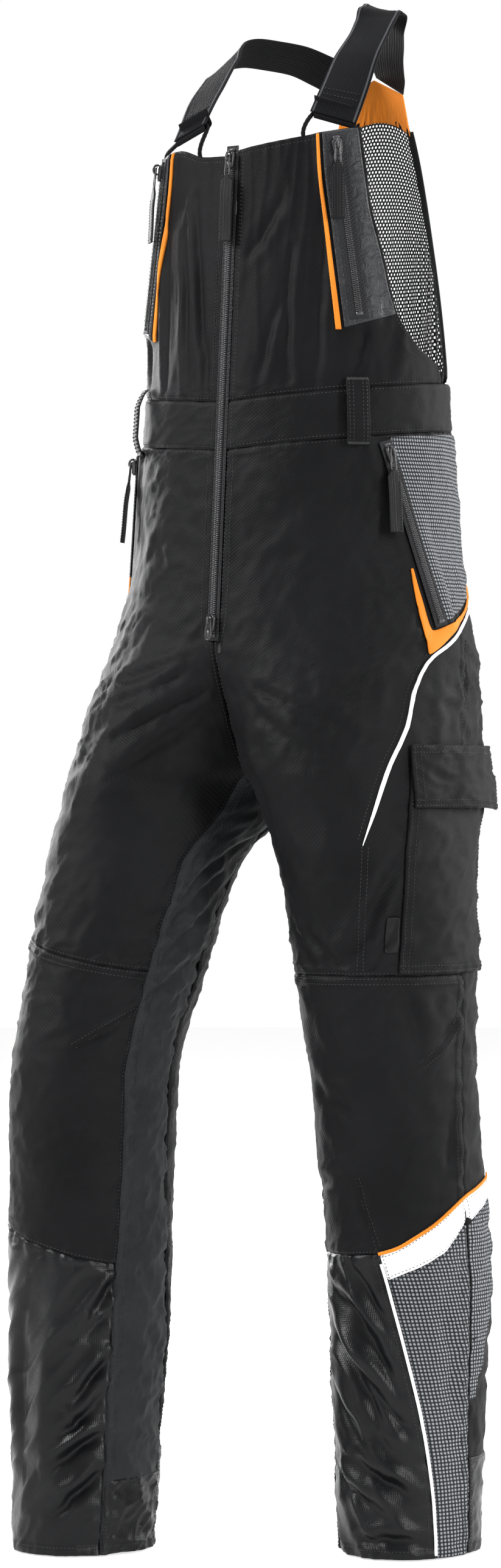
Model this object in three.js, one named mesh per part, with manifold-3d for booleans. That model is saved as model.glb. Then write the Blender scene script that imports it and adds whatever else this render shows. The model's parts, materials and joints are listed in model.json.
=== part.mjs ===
// Bib-and-brace work overalls with cut protection, standing as if worn: millimetres, +Z up,
// the wearer faces -Y and the wearer's left is +X.
// Heights are above the floor that the wearer stands on; the finished group is moved down so
// that its origin lies between the two tops of the braces, where the shoulders carry it.

import * as THREE from 'three';
import { mergeVertices } from 'three/addons/utils/BufferGeometryUtils.js';
import Module from 'manifold-3d';

const wasm = await Module();
wasm.setup();

// ---------------------------------------------------------------- driving dimensions

const SHOULDER_HEIGHT = 1440;       // tops of the braces, left
const HEM_HEIGHT = 24;              // bottom edges of the legs
const FLY_BOTTOM = 856;             // lower end of the main zip
const WAIST_TOP = 1071;             // waistband at centre front
const WAIST_DEPTH = 44;
const WAIST_RISE = 24;              // waistband's rise from front to back
const BIB_TOP = 1301;               // bib at centre front, left
const BIB_CORNER_RISE = 19;         // how much higher the left bib's outer corner lies
const CLOTH = 1.6;                  // thickness of an outer panel
const PAD = 4;                      // thickness of the cut-protection layers
const GAP = 0.35;                   // half the gap between panels above and below each other
const SEAM_GAP = 0.9;               // half the gap between panels side by side
const PROUD = 1.0;                  // clearance under anything sewn on top
const PATCH = 1.2;                  // thickness of a sewn-on layer
const ZIP_HALF_GAP = 6;             // half the opening that the main zip fills
const GUSSET_FRONT = -61;           // girth angle of the inner leg's front seam

// Girth sections of one half of the body. cx and rx give centre and half-width in X, front and
// back the depths before and behind the centre, left and right the legs' fore-and-aft places.
const SECTIONS = [
  { z: 1340, cx: 0, rx: 128, front: 98.2, back: 118, left: 0, right: 0 },
  { z: 1211, cx: 0, rx: 146, front: 106.9, back: 116, left: 0, right: 0 },
  { z: 1111, cx: 0, rx: 151, front: 113.6, back: 114, left: 0, right: 0 },
  { z: 1067, cx: 0, rx: 153, front: 116.5, back: 115, left: 0, right: 0 },
  { z: 960, cx: 0, rx: 160, front: 123.7, back: 122, left: 0, right: 0 },
  { z: 858, cx: 18, rx: 159, front: 131.5, back: 129, left: 0, right: -8 },
  { z: 828, cx: 50, rx: 129, front: 134, back: 128, left: -2, right: -14 },
  { z: 800, cx: 66, rx: 115, front: 135, back: 125, left: -4, right: -24 },
  { z: 765, cx: 78, rx: 107, front: 134, back: 121, left: -7, right: -36 },
  { z: 738, cx: 86, rx: 101, front: 132, back: 116, left: -10, right: -46 },
  { z: 725, cx: 93, rx: 94, front: 130, back: 114, left: -11, right: -52 },
  { z: 700, cx: 98.5, rx: 90, front: 121, back: 105, left: -14, right: -63 },
  { z: 654, cx: 109, rx: 84.5, front: 106, back: 95, left: -25, right: -85 },
  { z: 545, cx: 118, rx: 77, front: 97, back: 85, left: -21, right: -119 },
  { z: 449, cx: 123, rx: 72.5, front: 86, back: 80, left: -17, right: -146 },
  { z: 268, cx: 127, rx: 71, front: 81, back: 79, left: 0, right: -149 },
  { z: 120, cx: 127, rx: 65, front: 75, back: 73, left: 0, right: -155 },
  { z: 0, cx: 127, rx: 59, front: 69, back: 67, left: 0, right: -160 },
];

const COLOURS = {
  shell: [0x1d1d1f, 0.9],
  stretch: [0x2d2e31, 0.85],
  nylon: [0x26272b, 0.55],
  woven: [0x5a5d62, 0.9],
  orange: [0xe8851e, 0.75],
  white: [0xf4f4f2, 0.6],
  webbing: [0x151516, 0.85],
  mesh: [0x141416, 0.9],
  zip: [0x17171a, 0.5],
  slider: [0x0f0f11, 0.35],
  padding: [0xd9d6c8, 0.95],
};

// ---------------------------------------------------------------- small helpers

const rad = THREE.MathUtils.degToRad;
const lerp = THREE.MathUtils.lerp;
const clamp = THREE.MathUtils.clamp;
const smooth = (x) => THREE.MathUtils.smoothstep(x, 0, 1);
const steps = (n, power = 1) => Array.from({ length: n + 1 }, (_, i) => (i / n) ** power);
const v3 = (x, y, z) => new THREE.Vector3(x, y, z);

const garment = new THREE.Group();

function add(name, colour, geometry) {
  const [hex, roughness] = COLOURS[colour];
  const material = new THREE.MeshStandardMaterial({ color: hex, roughness, metalness: 0 });
  const mesh = new THREE.Mesh(geometry, material);
  mesh.name = name;
  garment.add(mesh);
  return mesh;
}

// A smooth curve through (x, y) pairs in rising x, with no overshoot between them.
function curve(pairs) {
  const x = pairs.map((p) => p[0]);
  const y = pairs.map((p) => p[1]);
  const slope = x.map((_, i) => {
    if (i === 0 || i === x.length - 1) return 0;
    const before = (y[i] - y[i - 1]) / (x[i] - x[i - 1]);
    const after = (y[i + 1] - y[i]) / (x[i + 1] - x[i]);
    return before * after > 0 ? (2 * before * after) / (before + after) : 0;
  });
  const last = x.length - 1;
  slope[0] = (y[1] - y[0]) / (x[1] - x[0]);
  slope[last] = (y[last] - y[last - 1]) / (x[last] - x[last - 1]);
  return (q) => {
    const at = clamp(q, x[0], x[last]);
    let i = 0;
    while (i < last - 1 && at > x[i + 1]) i += 1;
    const h = x[i + 1] - x[i];
    const t = (at - x[i]) / h;
    const rise = y[i + 1] - y[i];
    const bend = (1 - t) * (slope[i] * h - rise) + t * (rise - slope[i + 1] * h);
    return y[i] + t * rise + t * (1 - t) * bend;
  };
}

const upward = [...SECTIONS].reverse();
const section = {};
for (const key of ['cx', 'rx', 'front', 'back', 'left', 'right']) {
  section[key] = curve(upward.map((s) => [s.z, s[key]]));
}

// ---------------------------------------------------------------- the body surface

const CROTCH = 735;
const LEAN_WIDTH = 100;
const LEAN_FADE = 95;

// A point of the outer surface at a girth angle (0 front, 90 outer side, 180 back, -90 inner).
function bodyPoint(side, angle, z) {
  const c = Math.cos(rad(angle));
  const x = section.cx(z) + section.rx(z) * Math.sin(rad(angle));
  const depth = c > 0 ? section.front(z) : section.back(z);
  let place = section.left(z);
  if (side < 0) {
    const near = smooth(clamp(x / LEAN_WIDTH, 0, 1));
    const below = smooth(clamp((CROTCH - z) / LEAN_FADE, 0, 1));
    place += (section.right(z) - place) * lerp(near, 1, below);
  }
  return v3(side * x, place - depth * c, z);
}

function bodyNormal(side, angle, z) {
  const along = bodyPoint(side, angle + 0.5, z).sub(bodyPoint(side, angle - 0.5, z));
  const up = bodyPoint(side, angle, z + 1).sub(bodyPoint(side, angle, z - 1));
  return along.cross(up).normalize().multiplyScalar(side);
}

const onBody = (side, angle, z, lift) =>
  bodyPoint(side, angle, z).addScaledVector(bodyNormal(side, angle, z), lift);

// The girth angle at which the half-body crosses X = x, on its inner side.
const innerAngle = (z, x) =>
  THREE.MathUtils.radToDeg(Math.asin(clamp((x - section.cx(z)) / section.rx(z), -1, 1)));

// ---------------------------------------------------------------- closed sheets

// A closed sheet from a grid of points and their outward normals, filling from low to high.
function slab(points, normals, low, high) {
  const rows = points.length;
  const cols = points[0].length;
  const position = [];
  for (const lift of [high, low]) {
    for (let i = 0; i < rows; i += 1) {
      for (let j = 0; j < cols; j += 1) {
        const p = points[i][j].clone().addScaledVector(normals[i][j], lift);
        position.push(p.x, p.y, p.z);
      }
    }
  }
  const at = (layer, i, j) => layer * rows * cols + i * cols + j;
  const index = [];
  const quad = (a, b, c, d) => index.push(a, b, c, a, c, d);
  for (let i = 0; i + 1 < rows; i += 1) {
    for (let j = 0; j + 1 < cols; j += 1) {
      quad(at(0, i, j), at(0, i, j + 1), at(0, i + 1, j + 1), at(0, i + 1, j));
      quad(at(1, i, j), at(1, i + 1, j), at(1, i + 1, j + 1), at(1, i, j + 1));
    }
  }
  for (let j = 0; j + 1 < cols; j += 1) {
    quad(at(0, 0, j), at(1, 0, j), at(1, 0, j + 1), at(0, 0, j + 1));
    const top = rows - 1;
    quad(at(0, top, j), at(0, top, j + 1), at(1, top, j + 1), at(1, top, j));
  }
  for (let i = 0; i + 1 < rows; i += 1) {
    const end = cols - 1;
    quad(at(0, i, 0), at(0, i + 1, 0), at(1, i + 1, 0), at(1, i, 0));
    quad(at(0, i, end), at(1, i, end), at(1, i + 1, end), at(0, i + 1, end));
  }
  return outward(position, index);
}

// Turns every face round if the solid comes out inside out.
function outward(position, index) {
  const geometry = new THREE.BufferGeometry();
  geometry.setAttribute('position', new THREE.Float32BufferAttribute(position, 3));
  const p = geometry.attributes.position;
  const corner = [v3(), v3(), v3()];
  let volume = 0;
  for (let i = 0; i < index.length; i += 3) {
    corner.forEach((c, k) => c.fromBufferAttribute(p, index[i + k]));
    volume += corner[0].dot(corner[1].clone().cross(corner[2]));
  }
  geometry.setIndex(volume > 0 ? index : [...index].reverse());
  return geometry;
}

// A panel of the body between two seams (from, to: angle by height) and two edges
// (bottom, top: height by angle), as a closed sheet from low to high off the outer surface.
// flare adds to both, by angle and height.
function bodyPanel({ side, from, to, bottom, top, cols, rows, low = -CLOTH, high = 0,
  flare = () => 0 }) {
  const across = Array.isArray(cols) ? cols : steps(cols);
  const up = Array.isArray(rows) ? rows : steps(rows);
  const points = [];
  const normals = [];
  for (const t of up) {
    const rowPoints = [];
    const rowNormals = [];
    for (const s of across) {
      let z = lerp(bottom(40), top(40), t);
      let angle = 0;
      for (let pass = 0; pass < 8; pass += 1) {
        angle = lerp(from(z), to(z), s);
        z = lerp(bottom(angle), top(angle), t);
      }
      rowPoints.push(onBody(side, angle, z, flare(angle, z)));
      rowNormals.push(bodyNormal(side, angle, z));
    }
    points.push(rowPoints);
    normals.push(rowNormals);
  }
  return slab(points, normals, low, high);
}

const degreesFor = (mm, z) => THREE.MathUtils.radToDeg(mm / section.rx(z));

// A line of the pattern: angle by height or height by angle, moved sideways by a few mm.
const seamRight = (f, mm = SEAM_GAP) => (z) => f(z) + degreesFor(mm, z);
const seamLeft = (f, mm = SEAM_GAP) => (z) => f(z) - degreesFor(mm, z);
const above = (f, mm = GAP) => (angle) => f(angle) + mm;
const below = (f, mm = GAP) => (angle) => f(angle) - mm;

// ---------------------------------------------------------------- pattern lines

const waistTop = (angle) => WAIST_TOP + WAIST_RISE * Math.abs(Math.sin(rad(angle / 2)));
const waistBottom = (angle) => waistTop(angle) - WAIST_DEPTH;
const rightBibTop = curve([[0, BIB_TOP - 4], [15, BIB_TOP - 2], [34, BIB_TOP + 8],
  [57, BIB_TOP + 2]]);
const bibTop = (side) => (angle) => (side > 0
  ? BIB_TOP + (BIB_CORNER_RISE * angle) / 57 : rightBibTop(angle));

const armhole = curve([[1089, 100], [1104, 96], [1119, 82], [1149, 70], [1197, 64],
  [1257, 58.5], [1330, 57]]);
const chestSeam = curve([[1134, 45], [1230, 40], [1290, 38], [1320, 38]]);
const chestPocketBottom = (angle) => 1134 + (angle - 44) * 0.6;

// Centre front: the zip's opening above the fly's end, a closed seam under it.
const centreFront = (z) => {
  const half = lerp(GAP, ZIP_HALF_GAP, smooth(clamp((z - 808) / 28, 0, 1)));
  return Math.max(GUSSET_FRONT, innerAngle(z, half));
};
const gussetFront = (z) => (z > CROTCH ? centreFront(z) : seamFront(z));
const seamFront = curve([[0, -55.5], [225, -58], [400, -63], [545, -62], [642, -64], [735, -61]]);
const gussetBack = curve([[0, -121], [150, -117], [300, -110], [450, -103], [600, -107],
  [735, -119]]);
const centreBack = (z) => {
  const meeting = 180 - innerAngle(z, GAP);
  return Math.min(meeting, 360 + gussetBack(z));
};
const sideSeam = curve([[24, 94], [165, 87], [351, 84], [546, 95], [900, 97], [1050, 97]]);
const kneeTop = { 1: () => 551, [-1]: (angle) => 568 + 17 * Math.sin(rad(angle)) };
const kneeBottom = {
  1: curve([[-65, 295], [16, 300], [57, 326], [84, 350], [128, 367]]),
  [-1]: (angle) => 305 + 20 * Math.sin(rad(angle)),
};
const bandBottom = curve([[16, 273], [64, 301], [84, 325], [128, 348]]);
const shinSeam = curve([[24, 61], [81, 57], [135, 50], [189, 40], [264, 25], [297, 18]]);
const hem = () => HEM_HEIGHT;

// Height at which the two legs' surfaces meet at X = 0, by girth angle.
function crotchHeight(angle) {
  let low = 700;
  let high = 860;
  const target = Math.abs(Math.sin(rad(angle)));
  for (let pass = 0; pass < 30; pass += 1) {
    const mid = (low + high) / 2;
    const ratio = (section.cx(mid) - GAP) / section.rx(mid);
    if (ratio > target) low = mid;
    else high = mid;
  }
  return low;
}

// ---------------------------------------------------------------- legs and seat

for (const side of [1, -1]) {
  const hand = side > 0 ? 'left' : 'right';

  add(`front_panel_${hand}`, 'shell', bodyPanel({
    side, from: seamRight(gussetFront), to: seamLeft(sideSeam),
    bottom: above(kneeTop[side]), top: below(waistBottom), cols: 10, rows: 14,
  }));

  add(`back_leg_${hand}`, 'shell', bodyPanel({
    side, from: seamRight(sideSeam), to: seamLeft(centreBack),
    bottom: hem, top: below(waistBottom), cols: 9, rows: 20,
  }));

  add(`inner_leg_${hand}`, 'stretch', bodyPanel({
    side, from: seamRight(gussetBack), to: seamLeft(seamFront),
    bottom: hem, top: crotchHeight, cols: 4, rows: steps(14, 0.8),
  }));

  add(`knee_panel_${hand}`, 'shell', bodyPanel({
    side, from: seamRight(seamFront), to: seamLeft(sideSeam),
    bottom: above(kneeBottom[side]), top: below(kneeTop[side]), cols: 9, rows: 5,
  }));

  add(`cut_pad_${hand}`, 'padding', bodyPanel({
    side, from: (z) => Math.max(-50, centreFront(z) + 12), to: () => 78,
    bottom: () => 90, top: () => 900, cols: 7, rows: 12, low: -8 - PAD, high: -8,
  }));
}

add('shin_panel_right', 'nylon', bodyPanel({
  side: -1, from: seamRight(seamFront), to: seamLeft(sideSeam),
  bottom: hem, top: below(kneeBottom[-1]), cols: 9, rows: 5,
}));

add('shin_panel_left', 'nylon', bodyPanel({
  side: 1, from: seamRight(seamFront), to: seamLeft(shinSeam),
  bottom: hem, top: below(kneeBottom[1]), cols: 6, rows: 6,
}));

add('reflective_band_left', 'white', bodyPanel({
  side: 1, from: seamRight(shinSeam), to: seamLeft(sideSeam),
  bottom: above(bandBottom, 0.6), top: below(kneeBottom[1]), cols: 6, rows: 1,
}));

add('shin_side_left', 'woven', bodyPanel({
  side: 1, from: seamRight(shinSeam), to: seamLeft(sideSeam),
  bottom: hem, top: below(bandBottom), cols: 6, rows: 6,
}));

// ---------------------------------------------------------------- bib, waistband and back

for (const side of [1, -1]) {
  const hand = side > 0 ? 'left' : 'right';

  add(`bib_front_${hand}`, 'shell', bodyPanel({
    side, from: (z) => innerAngle(z, ZIP_HALF_GAP), to: armhole,
    bottom: above(waistTop), top: bibTop(side), cols: 7, rows: steps(11, 1.5),
  }));

  add(`chest_pocket_${hand}`, 'nylon', bodyPanel({
    side, from: seamRight(chestSeam, 3), to: seamLeft(armhole, 4),
    bottom: chestPocketBottom, top: below(bibTop(side), 1), cols: 4, rows: 8,
    low: PROUD, high: PROUD + PATCH,
  }));

  add(`chest_piping_${hand}`, 'orange', bodyPanel({
    side, from: (z) => chestSeam(z) - degreesFor(lerp(6, 3, (z - 1134) / 180), z),
    to: chestSeam,
    bottom: () => 1134, top: below(bibTop(side), 1), cols: 1, rows: 8,
    low: PROUD, high: PROUD + PATCH,
  }));
}

// The waistband runs from one edge of the main zip round the back to the other.
function waistband() {
  const first = innerAngle(WAIST_TOP, ZIP_HALF_GAP);
  const points = [];
  const normals = [];
  for (const t of [0, 1]) {
    const rowPoints = [];
    const rowNormals = [];
    for (const s of steps(36)) {
      const turn = lerp(first, 360 - first, s);
      const side = turn <= 180 ? 1 : -1;
      const angle = side > 0 ? turn : 360 - turn;
      const z = lerp(waistBottom(angle) + GAP, waistTop(angle) - GAP, t);
      rowPoints.push(bodyPoint(side, angle, z));
      rowNormals.push(bodyNormal(side, angle, z));
    }
    points.push(rowPoints);
    normals.push(rowNormals);
  }
  return slab(points, normals, -CLOTH - 0.6, 0.6);
}
add('waistband', 'shell', waistband());

// The back above the waistband, by height: half-width, depth at the edge and at the centre.
const backHalfWidth = curve([[1092, 146], [1106, 139], [1215, 95], [1338, 43.5], [1378, 34]]);
const backEdgeDepth = curve([[1092, 30], [1106, 41], [1215, 86], [1338, 126], [1378, 127]]);
const backCentreDepth = curve([[1092, 114], [1215, 121], [1338, 131], [1378, 129]]);
const BACK_POWER = 2.3;
const BACK_RISE = 17;               // how much higher the yoke lies at its centre
const BACK_BOTTOM = 1100;
const YOKE_BOTTOM = 1338;
const YOKE_TOP = 1377;              // at the yoke's sides

// u runs from the right edge (-1) to the left (1); the yoke's top edge is gabled, the rest arched.
function backPoint(u, level) {
  const y = lerp(backCentreDepth(level), backEdgeDepth(level), Math.abs(u) ** BACK_POWER);
  const rise = BACK_RISE * clamp((level - BACK_BOTTOM) / (YOKE_BOTTOM - BACK_BOTTOM), 0, 1);
  const gable = clamp((level - YOKE_BOTTOM) / (YOKE_TOP - YOKE_BOTTOM), 0, 1);
  return v3(u * backHalfWidth(level), y, level + rise * (1 - Math.abs(u) ** lerp(2, 1, gable)));
}

function backPanel(levels, cols) {
  const points = levels.map((level) => steps(cols).map((s) => backPoint(2 * s - 1, level)));
  const normals = levels.map((level) => steps(cols).map((s) => {
    const u = 2 * s - 1;
    const along = backPoint(u - 0.01, level).sub(backPoint(u + 0.01, level));
    const up = backPoint(u, level + 1).sub(backPoint(u, level - 1));
    return along.cross(up).normalize();
  }));
  return slab(points, normals, -CLOTH, 0);
}

const levelsBetween = (bottom, top, n) => steps(n).map((t) => lerp(bottom, top, t));
add('back_mesh', 'mesh', backPanel(levelsBetween(BACK_BOTTOM, YOKE_BOTTOM - 2 * GAP, 7), 12));
add('back_yoke', 'orange', backPanel(levelsBetween(YOKE_BOTTOM, YOKE_TOP, 2), 12));

// ---------------------------------------------------------------- braces and their loops

const BRACE_HALF = 22;
const BRACE_END_HALF = 17;          // the elastic narrows where it meets the yoke
const BRACE_THICK = 2;
const LOOP_FOOT = 3;                // height of a stirrup arm's lower end over the bib's edge
const LOOP_ROD = 1.8;               // half-thickness of a stirrup's cord
const LOOP_FEET = { 1: [31, 54], [-1]: [19, 55] };  // girth angles of its two arms

// Each brace from the bib over the shoulder to the yoke: its centre line and the direction of
// its width, towards +X. The two are worn a little differently, so they are not mirror images.
const BRACE_PATH = {
  1: [
    { at: [89, -68, 1328], across: [0.82, 0.57, 0] },
    { at: [90, -50, 1358], across: [0.9, 0.42, 0] },
    { at: [89, -30, 1388], across: [0.97, 0.24, 0] },
    { at: [87, -6, 1413], across: [1, 0.08, 0] },
    { at: [85, 8, 1428], across: [1, 0.02, -0.1] },
    { at: [83, 17, 1436.5], across: [0.97, 0, -0.24] },
    { at: [80, 28, 1438], across: [0.97, 0, -0.24] },
    { at: [69, 45, 1430], across: [0.82, 0.1, -0.52] },
    { at: [58, 62, 1423], across: [0.77, 0.15, -0.57] },
    { at: [44.5, 81, 1414], across: [0.77, 0.15, -0.57] },
    { at: [29.5, 105, 1400], across: [0.82, 0.1, -0.52] },
    { at: [18, 127, 1386.5], across: [0.9, -0.03, -0.45], half: BRACE_END_HALF },
  ],
  [-1]: [
    { at: [-59.5, -86, 1324], across: [0.93, -0.37, 0], half: 20.5 },
    { at: [-68.5, -50, 1361], across: [0.9, -0.42, -0.1] },
    { at: [-79, -9, 1393], across: [0.8, -0.58, -0.12] },
    { at: [-84, 10, 1405], across: [0.77, -0.58, 0.2] },
    { at: [-84, 22, 1411], across: [0.73, -0.5, 0.42] },
    { at: [-75, 36, 1414.5], across: [0.73, -0.48, 0.48] },
    { at: [-64, 53, 1413], across: [0.73, -0.48, 0.48] },
    { at: [-51, 72, 1410], across: [0.73, -0.48, 0.48] },
    { at: [-36, 96, 1400.5], across: [0.76, -0.42, 0.5] },
    { at: [-26, 113, 1393], across: [0.84, -0.2, 0.5] },
    { at: [-18, 127, 1386.5], across: [0.9, 0.03, 0.45], half: BRACE_END_HALF },
  ],
};

function strap(stations, thickness) {
  const points = stations.map(({ at, across, half = BRACE_HALF }) => [-1, 0, 1].map((s) =>
    v3(...at).addScaledVector(v3(...across).normalize(), s * half)));
  const normals = points.map((row, i) => {
    const next = points[Math.min(i + 1, points.length - 1)][1];
    const before = points[Math.max(i - 1, 0)][1];
    const normal = row[2].clone().sub(row[0]).cross(next.clone().sub(before)).normalize();
    return row.map(() => normal);
  });
  return slab(points, normals, 0, thickness);
}

for (const side of [1, -1]) {
  const hand = side > 0 ? 'left' : 'right';
  add(`brace_${hand}`, 'webbing', strap(BRACE_PATH[side], BRACE_THICK));
  add(`brace_loop_${hand}`, 'webbing', stirrup(side));
}

// A stirrup: a bar behind the brace's lower end and two arms down to the bib's top edge.
function stirrup(side) {
  const { at, across } = BRACE_PATH[side][0];
  const width = v3(...across).normalize();
  const inward = v3(0, 0, 1).cross(width);
  const foot = (angle) => onBody(side, angle, bibTop(side)(angle) + LOOP_FOOT, -CLOTH / 2);
  const head = (s) => v3(...at).addScaledVector(width, s * (BRACE_HALF - 3))
    .addScaledVector(inward, 6.5).add(v3(0, 0, 3));
  const feet = LOOP_FEET[side].map(foot);
  const corners = [feet[0], head(-side), head(side), feet[1]];
  return join([0, 1, 2].map((i) => rod(corners[i], corners[i + 1], LOOP_ROD)));
}

// A straight bar with a square section, running a little past both its ends.
function rod(a, b, half) {
  const length = a.distanceTo(b) + half;
  const box = new THREE.BoxGeometry(2 * half, 2 * half, length);
  const pose = new THREE.Object3D();
  pose.position.copy(a).add(b).multiplyScalar(0.5);
  pose.lookAt(b);
  pose.updateMatrix();
  return box.applyMatrix4(pose.matrix);
}

function toSolid(geometry) {
  const bare = geometry.clone();
  bare.deleteAttribute('normal');
  bare.deleteAttribute('uv');
  const merged = mergeVertices(bare, 1e-4);
  return new wasm.Manifold(new wasm.Mesh({
    numProp: 3,
    vertProperties: Float32Array.from(merged.attributes.position.array),
    triVerts: Uint32Array.from(merged.index.array),
  }));
}

function join(geometries) {
  const whole = geometries.map(toSolid).reduce((sum, next) => sum.add(next));
  const mesh = whole.getMesh();
  const geometry = new THREE.BufferGeometry();
  geometry.setAttribute('position', new THREE.Float32BufferAttribute(mesh.vertProperties, 3));
  geometry.setIndex(Array.from(mesh.triVerts));
  return geometry;
}

// ---------------------------------------------------------------- pockets and trim

const ZIP_TOP = { angle: 62, z: 1030 };
const ZIP_END = { angle: 81, z: 868 };
const sideZipLine = curve([[ZIP_END.z, ZIP_END.angle], [950, 72], [ZIP_TOP.z, ZIP_TOP.angle]]);
const pocketBottom = curve([[78, 866], [88, 873], [102, 886], [112, 900], [124, 917]]);
const pocketBack = curve([[880, 118], [960, 121], [1045, 126]]);

const TRIM_OUTER = [[70.5, 917], [71.5, 880], [74, 840], [85, 855], [97, 872], [110, 888], [121, 900]];
const TRIM_INNER = [[71.5, 917], [74, 890], [77.5, 862], [88, 868.5], [102, 882], [112, 896], [121, 909]];

// Doubles the points of an (angle, height) line.
const finer = (line) => line.flatMap((p, i) => (i === 0 ? [p]
  : [[(p[0] + line[i - 1][0]) / 2, (p[1] + line[i - 1][1]) / 2], p]));

function bodyStrip(side, coarse, low, high) {
  const lines = coarse.map(finer);
  const points = lines.map((line) => line.map(([angle, z]) => bodyPoint(side, angle, z)));
  const normals = lines.map((line) => line.map(([angle, z]) => bodyNormal(side, angle, z)));
  return slab(points, normals, low, high);
}

for (const side of [1, -1]) {
  const hand = side > 0 ? 'left' : 'right';
  add(`side_pocket_${hand}`, 'woven', bodyPanel({
    side, from: seamRight(sideZipLine, 6), to: pocketBack,
    bottom: pocketBottom, top: below(waistBottom, 3), cols: 7, rows: 7,
    low: PROUD, high: PROUD + PATCH,
  }));
  add(`pocket_trim_${hand}`, 'orange', bodyStrip(side, [TRIM_OUTER, TRIM_INNER],
    PROUD, PROUD + PATCH));
}

// White piping from the side pocket's corner forward across the thigh, to a point.
const THIGH_PIPING = [[121, 897], [109, 884], [97, 869], [85, 852], [74, 836.5], [66, 810],
  [61, 777], [52, 741], [42, 702], [33, 668]];
const THIGH_PIPING_WIDTH = [3.6, 3.6, 3.6, 3.6, 3.6, 3.6, 3.6, 3.4, 2.8, 0.6];

// A band of given widths along a line on the body, lying on its lower side.
function piping(side, line, widths) {
  const far = line.map(([angle, z], i) => {
    const before = line[Math.max(i - 1, 0)];
    const after = line[Math.min(i + 1, line.length - 1)];
    const mmPerDegree = rad(section.rx(z));
    const run = new THREE.Vector2((after[0] - before[0]) * mmPerDegree, after[1] - before[1]);
    run.normalize().multiplyScalar(widths[i]);
    return [angle - run.y / mmPerDegree, z + run.x];
  });
  return bodyStrip(side, [line, far], PROUD, PROUD + PATCH);
}

add('thigh_piping_left', 'white', piping(1, THIGH_PIPING, THIGH_PIPING_WIDTH));

const kneePipingLine = [17, 30, 43, 57, 70, 84, 98, 112, 126].map((a) => [a, kneeBottom[1](a) - 1]);
add('knee_piping_left', 'orange', piping(1, kneePipingLine, kneePipingLine.map(() => 3)));

const shinPipingLine = [27, 60, 95, 130, 165, 200, 235, 268, 292].map((z) => [shinSeam(z), z]);
add('shin_piping_left', 'white', piping(1, shinPipingLine, shinPipingLine.map(() => 2.6)));

// ---------------------------------------------------------------- cargo pocket and flap

const CARGO = { front: curve([[552, 47], [738, 63]]), back: () => 127, bottom: 553, top: 742 };
const CARGO_FRONT = 2.2;            // outer face of the pocket over the leg's clearance
const FLAP = { from: 62, to: 131, top: 758, bottom: 701, thick: 2.2, flare: 10 };

add('cargo_pocket', 'shell', bodyPanel({
  side: 1, from: CARGO.front, to: CARGO.back,
  bottom: () => CARGO.bottom, top: () => CARGO.top, cols: 8, rows: 5,
  low: PROUD + 0.2, high: PROUD + CARGO_FRONT,
}));

add('label_tab', 'slider', bodyPanel({
  side: 1, from: (z) => CARGO.front(z) - 9, to: (z) => CARGO.front(z) - 1,
  bottom: () => 572, top: () => 604, cols: 1, rows: 3, low: PROUD, high: PROUD + PATCH,
}));

// The flap's free back corner stands off the pocket.
const flapFlare = (angle, z) => FLAP.flare
  * smooth((angle - FLAP.from) / (FLAP.to - FLAP.from)) * ((FLAP.top - z) / (FLAP.top - FLAP.bottom));

add('cargo_flap', 'shell', bodyPanel({
  side: 1, from: () => FLAP.from, to: () => FLAP.to,
  bottom: () => FLAP.bottom, top: () => FLAP.top, cols: 8, rows: 3,
  low: 2 * PROUD + CARGO_FRONT, high: 2 * PROUD + CARGO_FRONT + FLAP.thick, flare: flapFlare,
}));

// ---------------------------------------------------------------- belt loops

const LOOP = { half: 10.5, thick: 1.6, rise: 7.2, over: 9 };

// An arched strip over the waistband that leaves room for a belt behind it.
function beltLoop(side, angle) {
  const top = waistTop(angle) + LOOP.over;
  const bottom = waistBottom(angle) - LOOP.over;
  const points = [];
  const normals = [];
  for (const t of steps(8)) {
    const z = lerp(bottom, top, t);
    const lift = 1.6 + LOOP.rise * Math.min(1, 5 * t * (1 - t));
    const centre = onBody(side, angle, z, lift);
    const normal = bodyNormal(side, angle, z);
    const across = v3(0, 0, 1).cross(normal).normalize();
    points.push([-1, 1].map((s) => centre.clone().addScaledVector(across, s * LOOP.half)));
    normals.push([normal, normal]);
  }
  return slab(points, normals, 0, LOOP.thick);
}

const BELT_LOOPS = [['front_left', 1, 51], ['front_right', -1, 51], ['back_left', 1, 142],
  ['back_right', -1, 142], ['back_centre', 1, 180]];
for (const [name, side, angle] of BELT_LOOPS) {
  add(`belt_loop_${name}`, 'shell', beltLoop(side, angle));
}

// ---------------------------------------------------------------- zips, sliders and pulls

const CHAIN = { half: 3, thick: 2.4 };
const TAPE = { half: 5.5, thick: 1 };

// A frame on a zip: along the chain (from its slider's end), across it, and out of the cloth.
function zipFrame(start, end, normal) {
  const along = end.clone().sub(start).normalize();
  const across = along.clone().cross(normal).normalize();
  const out = across.clone().cross(along).normalize();
  return { start, end, along, across, out, length: start.distanceTo(end) };
}

// Extrudes an outline drawn in (across, out) along the chain.
function alongChain(frame, outline, from, to) {
  const shape = new THREE.Shape(outline.map(([x, y]) => new THREE.Vector2(x, y)));
  const geometry = new THREE.ExtrudeGeometry(shape, { depth: to - from, bevelEnabled: false });
  const basis = new THREE.Matrix4().makeBasis(frame.across, frame.out, frame.along.clone());
  const origin = frame.start.clone().addScaledVector(frame.along, from);
  basis.setPosition(origin);
  geometry.applyMatrix4(basis);
  return righted(geometry);
}

// The same solid with merged corners and its faces turned outwards.
function righted(geometry) {
  const bare = geometry.clone();
  bare.deleteAttribute('normal');
  bare.deleteAttribute('uv');
  const merged = mergeVertices(bare, 1e-4);
  return outward(Array.from(merged.attributes.position.array), Array.from(merged.index.array));
}

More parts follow.
